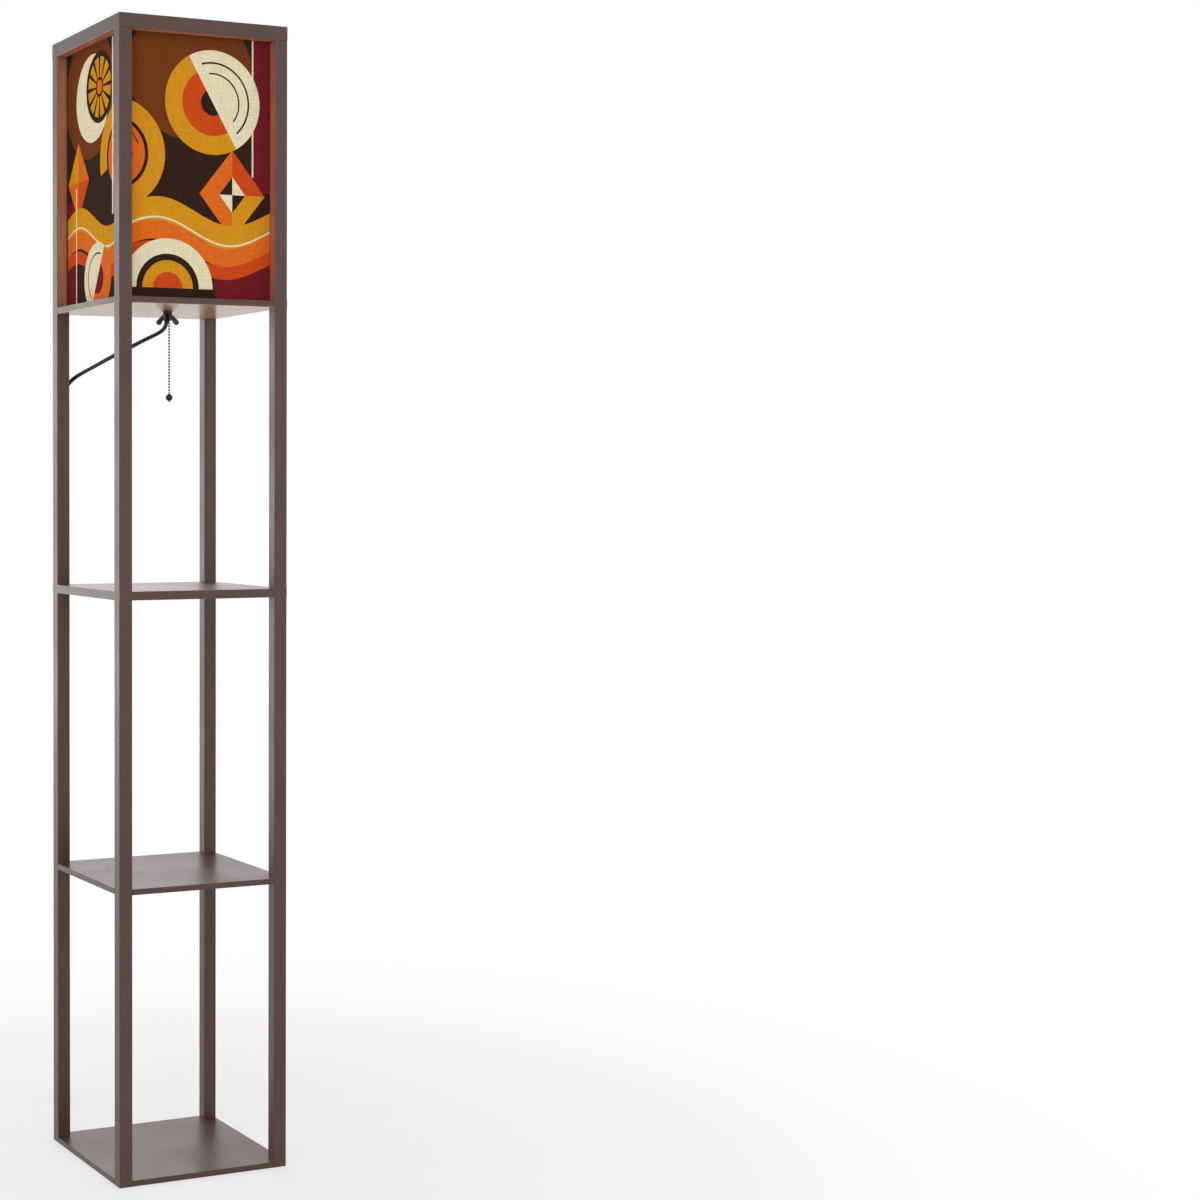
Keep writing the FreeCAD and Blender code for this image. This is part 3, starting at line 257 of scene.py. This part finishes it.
def makeFloor():
    half = studio["floorSize"] / 2
    mesh = bpy.data.meshes.new("floor")
    corners = [(-half, -half, 0), (half, -half, 0), (half, half, 0), (-half, half, 0)]
    mesh.from_pydata(corners, [], [(0, 1, 2, 3)])
    floor = addObject("floor", mesh)
    # Matt painted studio floor: pale, with only the contact shadows left on it
    material, tree, shader = startMaterial("paintedFloor", {
        "Base Color": linear(studio["floorColour"]), "Roughness": 0.7})
    place = addNode(tree, "ShaderNodeTexCoord").outputs["Object"]
    distance = addNode(tree, "ShaderNodeVectorMath", {0: place}, operation="LENGTH").outputs["Value"]
    fade = addNode(tree, "ShaderNodeMapRange", {
        "Value": distance, "From Min": studio["whiteFrom"], "From Max": studio["whiteAt"],
        "To Min": studio["nearWhite"], "To Max": 1.0}, interpolation_type="SMOOTHSTEP")
    seen = addNode(tree, "ShaderNodeMath", {0: fade.outputs[0], 1: seenRays(tree)}, operation="MULTIPLY")
    white = addNode(tree, "ShaderNodeEmission", {"Color": (1, 1, 1, 1), "Strength": 1.0}).outputs[0]
    mix = addNode(tree, "ShaderNodeMixShader", {0: seen.outputs[0], 1: shader.outputs[0], 2: white})
    tree.links.new(mix.outputs[0], tree.nodes["Material Output"].inputs["Surface"])
    mesh.materials.append(material)


def makeLights():
    aim = Vector(studio["aim"])
    for name, (place, size, watts) in softLights.items():
        data = bpy.data.lights.new(name, "AREA")
        data.size = size
        data.energy = watts
        lamp = addObject(name, data)
        lamp.location = place
        lamp.rotation_euler = (aim - Vector(place)).to_track_quat("-Z", "Y").to_euler()
        lamp.visible_camera = False


makeWorld()
makeFloor()
makeLights()
print("studio ready")


# the painted frame

lacquer = {
    "colour": "#533A32",
    "deepColour": "#492F28",
    "roughness": 0.36,
    "glossDrift": (-0.05, 0.06),
    "toneRange": (0.12, 0.42),  # of the cloud and grain noises multiplied
    "peelSize": 1.6 * mm,       # orange peel of a sprayed coat
    "peelDepth": 0.03 * mm,
    "grainWidth": 1.4 * mm,     # the wood's grain telegraphs faintly through the paint
    "grainLength": 60 * mm,
    "cloudSize": 90 * mm,
}


def satinLacquer(name, grainAxis=None):
    # Satin lacquer sprayed over sanded wood: low sheen, a little orange peel, an almost even colour
    material, tree, shader = startMaterial(name, {"IOR": 1.5, "Specular IOR Level": 0.5})
    place = addNode(tree, "ShaderNodeTexCoord").outputs["Object"]
    stretch = [1 / lacquer["grainWidth"]] * 3
    if grainAxis is not None:
        stretch[grainAxis] = 1 / lacquer["grainLength"]
    along = addNode(tree, "ShaderNodeVectorMath", {0: place, 1: stretch}, operation="MULTIPLY").outputs[0]
    grain = addNode(tree, "ShaderNodeTexNoise", {
        "Vector": along, "Scale": 1.0, "Detail": 2.0}).outputs["Fac"]
    cloud = addNode(tree, "ShaderNodeTexNoise", {
        "Vector": place, "Scale": 1 / lacquer["cloudSize"], "Detail": 2.0}).outputs["Fac"]
    peel = addNode(tree, "ShaderNodeTexNoise", {
        "Vector": place, "Scale": 1 / lacquer["peelSize"], "Detail": 1.0}).outputs["Fac"]
    depth = addNode(tree, "ShaderNodeMath", {0: cloud, 1: grain}, operation="MULTIPLY").outputs[0]
    tone = addNode(tree, "ShaderNodeMapRange", {
        "Value": depth, "From Min": lacquer["toneRange"][0], "From Max": lacquer["toneRange"][1]}).outputs[0]
    colour = addNode(tree, "ShaderNodeMix", {
        "Factor": tone, 6: linear(lacquer["deepColour"]), 7: linear(lacquer["colour"])}, data_type="RGBA")
    sheen = addNode(tree, "ShaderNodeMapRange", {
        "Value": cloud, "From Min": noiseCentre[0], "From Max": noiseCentre[1],
        "To Min": lacquer["roughness"] + lacquer["glossDrift"][0],
        "To Max": lacquer["roughness"] + lacquer["glossDrift"][1]}).outputs[0]
    relief = addNode(tree, "ShaderNodeMath", {0: grain, 1: peel}, operation="ADD").outputs[0]
    bump = addNode(tree, "ShaderNodeBump", {
        "Height": relief, "Distance": lacquer["peelDepth"], "Strength": 1.0})
    tree.links.new(colour.outputs[2], shader.inputs["Base Color"])
    tree.links.new(sheen, shader.inputs["Roughness"])
    tree.links.new(bump.outputs[0], shader.inputs["Normal"])
    return material


# the smaller finishes

smallFinish = {
    "driftSpan": 4,              # grains to one drift of colour
    "glossRange": (0.85, 1.2),   # shares of the roughness
}


def driftingSurface(name, look, metallic=0, ior=1.5):
    # a surface whose colour and gloss drift a little, over a fine grain; a metal keeps the default IOR
    material, tree, shader = startMaterial(name, {"Metallic": metallic, "IOR": ior})
    place = addNode(tree, "ShaderNodeTexCoord").outputs["Object"]
    driftSize = smallFinish["driftSpan"] * look["grain"]
    drift = addNode(tree, "ShaderNodeTexNoise", {
        "Vector": place, "Scale": 1 / driftSize, "Detail": 3.0}).outputs["Fac"]
    grain = addNode(tree, "ShaderNodeTexNoise", {
        "Vector": place, "Scale": 1 / look["grain"], "Detail": 2.0}).outputs["Fac"]
    mixed = addNode(tree, "ShaderNodeMix", {
        "Factor": drift, 6: linear(look["deep"]), 7: linear(look["colour"])}, data_type="RGBA")
    gloss = addNode(tree, "ShaderNodeMapRange", {
        "Value": drift, "From Min": noiseCentre[0], "From Max": noiseCentre[1],
        "To Min": look["roughness"] * smallFinish["glossRange"][0],
        "To Max": look["roughness"] * smallFinish["glossRange"][1]}).outputs[0]
    bump = addNode(tree, "ShaderNodeBump", {"Height": grain, "Distance": look["relief"], "Strength": 1.0})
    tree.links.new(mixed.outputs[2], shader.inputs["Base Color"])
    tree.links.new(gloss, shader.inputs["Roughness"])
    tree.links.new(bump.outputs[0], shader.inputs["Normal"])
    return material


warmLitMelamine = {
    # painted warm light and shade: a white laminate given a darker peach-brown colour
    "colour": "#B58C74", "deep": "#AC836B",
    "roughness": 0.24, "grain": 0.9 * mm, "relief": 0.01 * mm,
}


def melamineWithPaintedWarmLight():
    # Melamine pressed on the board: smooth and pale white in itself, mirrors the fitting softly at a low
    # angle; its colour here is a darker peach-brown, painted warm light and painted shade of the underside
    return driftingSurface("melamineWithPaintedWarmLight", warmLitMelamine)


nickel = {
    "colour": "#3F3937", "deep": "#2F2A28",
    "roughness": 0.12, "grain": 6 * mm, "relief": 0.01 * mm,
}


def polishedBlackNickel():
    # Black nickel over polished zinc: dark mirror with hard bright highlights
    return driftingSurface("polishedBlackNickel", nickel, metallic=1)


zinc = {"colour": "#C4C6C8", "deep": "#AEB2B6", "roughness": 0.3, "grain": 2 * mm, "relief": 0.01 * mm}


def zincPlatedSteel():
    # Drawn steel, zinc plated: cool grey, softly bright
    return driftingSurface("zincPlatedSteel", zinc, metallic=1)


springWire = {
    "colour": "#9A9B9C", "deep": "#7E8082",
    "roughness": 0.28, "grain": 1 * mm, "relief": 0.01 * mm,
}


def drawnSpringSteel():
    # Bare drawn spring wire: a darker, oily grey
    return driftingSurface("drawnSpringSteel", springWire, metallic=1)


brass = {"colour": "#CFA95C", "deep": "#B98F45", "roughness": 0.25, "grain": 2 * mm, "relief": 0.01 * mm}


def turnedBrass():
    # Brass off the lathe: yellow, clean and bright
    return driftingSurface("turnedBrass", brass, metallic=1)


socketCap = {
    "colour": "#CDAE6C", "deep": "#B59450",
    "roughness": 0.3, "grain": 8 * mm, "relief": 0.01 * mm,
}


def spunBrassedSteel():
    # Spun steel with a brass wash: broad soft bands of light
    return driftingSurface("spunBrassedSteel", socketCap, metallic=1)


bulbCap = {
    "colour": "#D2D2D0", "deep": "#BDBDBA",
    "roughness": 0.3, "grain": 3 * mm, "relief": 0.01 * mm,
}


def rolledAluminium():
    # Rolled aluminium screw cap: light and a little dull
    return driftingSurface("rolledAluminium", bulbCap, metallic=1)


bladeMetal = {
    "colour": "#D8D2C2", "deep": "#C2BBA8",
    "roughness": 0.24, "grain": 3 * mm, "relief": 0.01 * mm,
}


def nickelledBrass():
    # Stamped brass blades, thinly nickelled: warm silver
    return driftingSurface("nickelledBrass", bladeMetal, metallic=1)


phenolic = {
    "colour": "#1C1B1B", "deep": "#151414",
    "roughness": 0.42, "grain": 0.5 * mm, "relief": 0.02 * mm,
}


def mouldedPhenolic():
    # Moulded black plastic from a finely etched tool: dull black with a soft edge to its highlights
    return driftingSurface("mouldedPhenolic", phenolic)


jacket = {
    "colour": "#171616", "deep": "#100F0F",
    "roughness": 0.4, "grain": 0.7 * mm, "relief": 0.02 * mm,
}


def extrudedVinyl():
    # Extruded soft vinyl jacket: near black, a dim sheen along the lead
    return driftingSurface("extrudedVinyl", jacket, ior=1.53)


beech = {
    "colour": "#D9B98C", "deep": "#C39C6A",
    "roughness": 0.6, "grain": 0.6 * mm, "relief": 0.03 * mm,
}


def milledBeech():
    # Bare milled beech: dry and straw coloured
    return driftingSurface("milledBeech", beech)


linerFilm = {
    "colour": "#F3EEE3", "deep": "#ECE5D6",
    "roughness": 0.5, "grain": 1.2 * mm, "relief": 0.01 * mm,
}


def castStyreneLiner():
    # Cast styrene sheet behind the cloth: milky and even
    return driftingSurface("castStyreneLiner", linerFilm)


opal = {
    "colour": "#FFFDF6", "deep": "#EFE9DC", "roughness": 0.25,
    "light": "#FFE9C8", "glow": 0.6,
    "coatClouds": 60.0,   # to a metre
}


def opalGlass():
    # Opal bulb glass: a white coat inside clear glass, alight and a little warm
    material, tree, shader = startMaterial("opalGlass", {
        "IOR": 1.52, "Roughness": opal["roughness"], "Emission Strength": opal["glow"],
        "Emission Color": linear(opal["light"])})
    place = addNode(tree, "ShaderNodeTexCoord").outputs["Object"]
    coat = addNode(tree, "ShaderNodeTexNoise", {
        "Vector": place, "Scale": opal["coatClouds"], "Detail": 2.0}).outputs["Fac"]
    mixed = addNode(tree, "ShaderNodeMix", {
        "Factor": coat, 6: linear(opal["deep"]), 7: linear(opal["colour"])}, data_type="RGBA")
    tree.links.new(mixed.outputs[2], shader.inputs["Base Color"])
    return material


def longestAxis(node):
    low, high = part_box(node)
    size = high - low
    return max(range(3), key=lambda axis: size[axis])


def finishAll():
    # every CAD piece gets the material of its slot; the cloth panels bring their own
    made = {
        "painted_board": satinLacquer("lacqueredBoard"),
        "white_laminate": melamineWithPaintedWarmLight(),
        "black_nickel": polishedBlackNickel(),
        "zinc_steel": zincPlatedSteel(),
        "spring_steel": drawnSpringSteel(),
        "brass": turnedBrass(),
        "socket_metal": spunBrassedSteel(),
        "bulb_cap_metal": rolledAluminium(),
        "plug_brass": nickelledBrass(),
        "black_plastic": mouldedPhenolic(),
        "black_pvc": extrudedVinyl(),
        "beech_dowel": milledBeech(),
        "shade_liner": castStyreneLiner(),
        "bulb_glass": opalGlass(),
    }
    names = ("lacqueredWoodAcross", "lacqueredWoodDeep", "lacqueredWoodUpright")
    grained = [satinLacquer(name, axis) for axis, name in enumerate(names)]
    for part in frame["record"]["subparts"]:
        node, slot = part["node"], part["material_slot"]
        if slot == "painted_wood":
            finishNodes(grained[longestAxis(node)], node)
        elif slot != "printed_fabric":
            finishNodes(made[slot], node)
    leadPiece.data.materials.append(made["black_pvc"])


finishAll()
print("frame painted")


# the shade: printed linen stretched over a stiff liner

linen = {
    "thread": 1.1 * mm,       # real thread is 0.5 mm; drawn twice as coarse so that it shows
    "threadDepth": 0.12 * mm,
    "slubWidth": 1.3 * mm,
    "slubLength": 26 * mm,
    "roughness": 0.95,
    "fibreSheen": 0.08,
    "slubRange": (0.7, 1.3),    # of the two slub noises added
    "slubShade": (0.84, 1.08),
    # painted shade: the colour is darker in the gaps between the threads
    "paintedGapShade": (0.9, 1.02),
    "relief": 0.7,
    # painted glow: the cloth's emission, in its ink colours, stands in for the bulb's light through it
    "glow": 0.16,
    "thickness": 0.6 * mm,
}
inks = {
    "ground": "#34211A",
    "cream": "#E9DFBC",
    "gold": "#D6921E",
    "orange": "#E06C22",
    "rust": "#CE4B1B",
    "brown": "#713B19",
    "wine": "#721D26",
}
printSize = {
    "side": 220.0, "height": 362.0,   # millimetres of one side; the print repeats every two sides
    "arcStep": 5,                     # degrees
    "cutTolerance": 1e-4,
}


def disc(u, v, radius, start=0, end=360):
    count = max(6, round(abs(end - start) / printSize["arcStep"]))
    corners = count if abs(end - start) == 360 else count + 1
    turns = [math.radians(start + (end - start) * i / count) for i in range(corners)]
    return [(u + radius * math.cos(t), v + radius * math.sin(t)) for t in turns]


def band(u, v, outer, inner, start, end):
    return disc(u, v, outer, start, end) + disc(u, v, inner, end, start)


def wave(v, rise, width, phase):
    # a band that runs round the shade, one swing to each side
    side = printSize["side"]
    count = 80
    middle = []
    for i in range(count + 1):
        middle.append((side * (2 * i / count - 1), v + rise * math.sin(4 * math.pi * i / count + phase)))
    return [(u, m + width / 2) for u, m in middle] + [(u, m - width / 2) for u, m in reversed(middle)]


def strip(left, right, low, high):
    return [(left, low), (right, low), (right, high), (left, high)]


def diamond(u, v, width, height, colours):
    # four triangles round one point, clockwise from the upper left
    tips = [(u - width, v), (u, v + height), (u + width, v), (u, v - height)]
    return [(colour, [(u, v), tips[i], tips[(i + 1) % 4]]) for i, colour in enumerate(colours)]


def printShapes():
    # the design, back to front: (ink, outline); u runs round the shade, 0 at the front left corner, v up
    shapes = [
        ("brown", disc(-132, 296, 92)), ("brown", disc(96, 312, 94)), ("wine", disc(184, 20, 52)),
        ("wine", strip(-220, -184, 0, 150)), ("wine", strip(192, 220, 150, 362)),
        # half cream, half gold disc
        ("cream", disc(130, 272, 72, -60, 120)),
        ("ground", band(130, 272, 56, 53.4, -48, 108)), ("ground", band(130, 272, 41, 38.8, -38, 98)),
        ("gold", disc(130, 272, 72, 120, 300)), ("rust", disc(130, 272, 46, 120, 300)),
        ("ground", disc(130, 272, 18, 120, 300)),
        # crescent with a wheel of rays
        ("cream", disc(-122, 288, 62)), ("ground", disc(-96, 300, 50)),
    ]
    rays = 12
    for i in range(rays):
        shapes.append(("gold", band(-96, 300, 42, 14, 360 / rays * i + 4.5, 360 / rays * (i + 1) - 4.5)))
    shapes += [
        ("orange", disc(-96, 300, 10)),
        # sun round the corner
        ("gold", band(-18, 196, 76, 51, -90, 196)), ("orange", disc(-18, 196, 46)),
        ("rust", disc(-18, 196, 28, 0, 180)), ("wine", disc(-18, 196, 28, 180, 360)),
        ("ground", band(-18, 196, 39, 37.4, 20, 160)),
    ]
    shapes += diamond(160, 146, 50, 62, ("orange", "rust", "gold", "orange"))
    shapes += diamond(160, 146, 20, 25, ("ground", "cream", "ground", "cream"))
    shapes += diamond(-176, 176, 40, 56, ("gold", "orange", "rust", "orange"))
    shapes += [
        ("gold", wave(104, 18, 34, 0.2)), ("orange", wave(76, 18, 26, 0.35)),
        ("rust", wave(53, 16, 18, 0.5)),
        ("cream", wave(93, 18, 2.6, 0.275)),
        # arches at the foot
        ("cream", disc(62, 14, 68, 0, 180)), ("ground", disc(62, 14, 47, 0, 180)),
        ("gold", disc(62, 14, 38, 0, 180)), ("rust", disc(62, 14, 22, 0, 180)),
        ("cream", disc(-104, 34, 50, 60, 240)), ("orange", disc(-104, 34, 50, -120, 60)),
        ("ground", band(-104, 34, 36, 33.8, 70, 230)), ("wine", disc(-104, 34, 22, -120, 60)),
        # thin uprights
        ("cream", strip(190, 192.4, 172, 362)), ("cream", strip(-186, -183, 0, 168)),
        ("cream", strip(-50, -45, 118, 362)),
    ]
    return shapes


def covers(outline, spots):
    # which of the spots lie inside the outline, by counting the edges to their right
    inside = np.zeros(len(spots), bool)
    u, v = spots[:, 0], spots[:, 1]
    for (u0, v0), (u1, v1) in zip(outline, outline[1:] + outline[:1]):
        if v0 != v1:
            crosses = (v0 > v) != (v1 > v)
            inside ^= crosses & (u < u0 + (v - v0) * (u1 - u0) / (v1 - v0))
    return inside


def printedRegions(left, right):
    # cuts the design to one side of the shade: points, triangles and each triangle's ink
    shapes = [("ground", strip(left, right, 0, printSize["height"]))]
    repeat = 2 * printSize["side"]
    for ink, outline in printShapes():
        for shift in (-repeat, 0, repeat):
            moved = [(u + shift, v) for u, v in outline]
            if max(u for u, v in moved) > left and min(u for u, v in moved) < right:
                shapes.append((ink, moved))
    points, edges = [], []
    for ink, outline in shapes:
        first, count = len(points), len(outline)
        edges += [(first + i, first + (i + 1) % count) for i in range(count)]
        points += [Vector(p) for p in outline]
    cut = delaunay_2d_cdt(points, edges, [], 0, printSize["cutTolerance"])
    corners, triangles = cut[0], cut[2]
    spots = np.array([sum((corners[i] for i in t), Vector((0, 0))) / 3 for t in triangles])
    top = np.full(len(triangles), -1)
    for number, (ink, outline) in enumerate(shapes):
        top[covers(outline, spots)] = number
    onPanel = covers(shapes[0][1], spots)
    kept = [(t, shapes[n][0]) for t, n, on in zip(triangles, top, onPanel) if on]
    used = {i: number for number, i in enumerate(sorted({i for t, ink in kept for i in t}))}
    return [corners[i] for i in used], [([used[i] for i in t], ink) for t, ink in kept]


def printedLinen():
    # Plain-weave linen, screen printed: matt and dry, with slubs both ways, painted shade in the gaps
    # between the threads and a painted glow in its ink colours
    material, tree, shader = startMaterial("printedLinen", {
        "Roughness": linen["roughness"], "IOR": 1.45, "Specular IOR Level": linen["fibreSheen"],
        "Emission Strength": linen["glow"]})
    ink = addNode(tree, "ShaderNodeAttribute", attribute_name="ink").outputs["Color"]
    cloth = addNode(tree, "ShaderNodeUVMap", uv_map="cloth").outputs[0]
    split = addNode(tree, "ShaderNodeSeparateXYZ", {0: cloth})
    crowns, cells, slubs = [], [], []
    for axis in range(2):
        thread = addNode(tree, "ShaderNodeMath", {
            0: split.outputs[axis], 1: linen["thread"]}, operation="DIVIDE").outputs[0]
        cells.append(addNode(tree, "ShaderNodeMath", {0: thread}, operation="FLOOR").outputs[0])
        part = addNode(tree, "ShaderNodeMath", {0: thread}, operation="FRACT").outputs[0]
        turn = addNode(tree, "ShaderNodeMath", {0: part, 1: math.pi}, operation="MULTIPLY").outputs[0]
        crowns.append(addNode(tree, "ShaderNodeMath", {0: turn}, operation="SINE").outputs[0])
        stretch = [1 / linen["slubLength"]] * 3
        stretch[axis] = 1 / linen["slubWidth"]
        along = addNode(tree, "ShaderNodeVectorMath", {0: cloth, 1: stretch}, operation="MULTIPLY")
        slub = addNode(tree, "ShaderNodeTexNoise", {
            "Vector": along.outputs[0], "Scale": 1.0, "Detail": 1.0})
        slubs.append(slub.outputs["Fac"])
    total = addNode(tree, "ShaderNodeMath", {0: cells[0], 1: cells[1]}, operation="ADD").outputs[0]
    over = addNode(tree, "ShaderNodeMath", {0: total, 1: 2.0}, operation="FLOORED_MODULO").outputs[0]
    weave = addNode(tree, "ShaderNodeMix", {
        "Factor": over, 2: crowns[0], 3: crowns[1]}, data_type="FLOAT").outputs[0]
    slub = addNode(tree, "ShaderNodeMath", {0: slubs[0], 1: slubs[1]}, operation="ADD").outputs[0]
    shade = addNode(tree, "ShaderNodeMapRange", {
        "Value": slub, "From Min": linen["slubRange"][0], "From Max": linen["slubRange"][1],
        "To Min": linen["slubShade"][0], "To Max": linen["slubShade"][1]}).outputs[0]
    # painted shade in the weave: darker where the threads dip, lighter on their crowns
    paintedThreadShade = addNode(tree, "ShaderNodeMapRange", {
        "Value": weave, "To Min": linen["paintedGapShade"][0], "To Max": linen["paintedGapShade"][1]}).outputs[0]
    light = addNode(tree, "ShaderNodeMath", {0: shade, 1: paintedThreadShade}, operation="MULTIPLY").outputs[0]
    colour = addNode(tree, "ShaderNodeVectorMath", {0: ink, "Scale": light}, operation="SCALE").outputs[0]
    relief = addNode(tree, "ShaderNodeMath", {0: weave, 1: slub}, operation="ADD").outputs[0]
    bump = addNode(tree, "ShaderNodeBump", {
        "Height": relief, "Distance": linen["threadDepth"], "Strength": linen["relief"]})
    tree.links.new(colour, shader.inputs["Base Color"])
    # painted glow: the cloth emits its own ink colours
    tree.links.new(colour, shader.inputs["Emission Color"])
    tree.links.new(bump.outputs[0], shader.inputs["Normal"])
    return material


def makePanel(side, startCorner, direction, startU, material):
    # one printed panel, in the place of its node, seen from outside with u to the right
    node = f"shade_fabric_{side}"
    low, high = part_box(node)
    start, along = Vector(startCorner) * mm, Vector(direction)
    ends = sorted(((low - start).dot(along), (high - start).dot(along)))
    corners, regions = printedRegions(startU + ends[0] / mm, startU + ends[1] / mm)
    outward = Vector((along.y, -along.x, 0))
    reach = max(low.dot(outward), high.dot(outward))
    base = start - outward * start.dot(outward) + outward * reach
    mesh = bpy.data.meshes.new(f"{side}Panel")
    places = [base + along * (p.x - startU) * mm + Vector((0, 0, low.z + p.y * mm)) for p in corners]
    mesh.from_pydata(places, [], [triangle for triangle, ink in regions])
    ink = mesh.color_attributes.new("ink", "FLOAT_COLOR", "CORNER")
    cloth = mesh.uv_layers.new(name="cloth")
    for face, (triangle, name) in zip(mesh.polygons, regions):
        for loop in face.loop_indices:
            ink.data[loop].color = linear(inks[name])
            cloth.data[loop].uv = corners[mesh.loops[loop].vertex_index] * mm
    mesh.materials.append(material)
    panel = addObject(f"{side}Panel", mesh)
    solid = panel.modifiers.new("clothThickness", "SOLIDIFY")
    solid.thickness = linen["thickness"]
    solid.offset = -1
    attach(panel, "frame")
    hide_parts(node)


def makeShade():
    material = printedLinen()
    half = printSize["side"] / 2
    makePanel("front", (-half, -half, 0), (1, 0, 0), 0, material)
    makePanel("right", (half, -half, 0), (0, 1, 0), -printSize["side"], material)
    makePanel("back", (half, half, 0), (-1, 0, 0), 0, material)
    makePanel("left", (-half, half, 0), (0, -1, 0), -printSize["side"], material)


shadeGlow = {
    "colour": "#FFC39A",
    "watts": 1.6,             # each side
    "standOff": 1.5 * mm,     # in front of the cloth
    "edgeGap": 4 * mm,
}


def makeGlow():
    # the lit cloth's own light on the posts and rails round it, as one soft panel in front of each side
    for side in ("front", "right", "back", "left"):
        low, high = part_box(f"shade_fabric_{side}")
        middle, size = (low + high) / 2, high - low
        outward = Vector((middle.x, middle.y, 0)).normalized()
        data = bpy.data.lights.new(f"{side}Glow", "AREA")
        data.shape = "RECTANGLE"
        data.size, data.size_y = max(size.x, size.y) - shadeGlow["edgeGap"], size.z - shadeGlow["edgeGap"]
        data.color = linear(shadeGlow["colour"])[:3]
        data.energy = shadeGlow["watts"]
        glow = addObject(f"{side}Glow", data)
        glow.location = middle + outward * (linen["thickness"] / 2 + shadeGlow["standOff"])
        glow.rotation_euler = outward.to_track_quat("-Z", "Y").to_euler()
        glow.visible_camera = False
        glow.visible_glossy = False


makeShade()
makeGlow()
print("shade stretched")
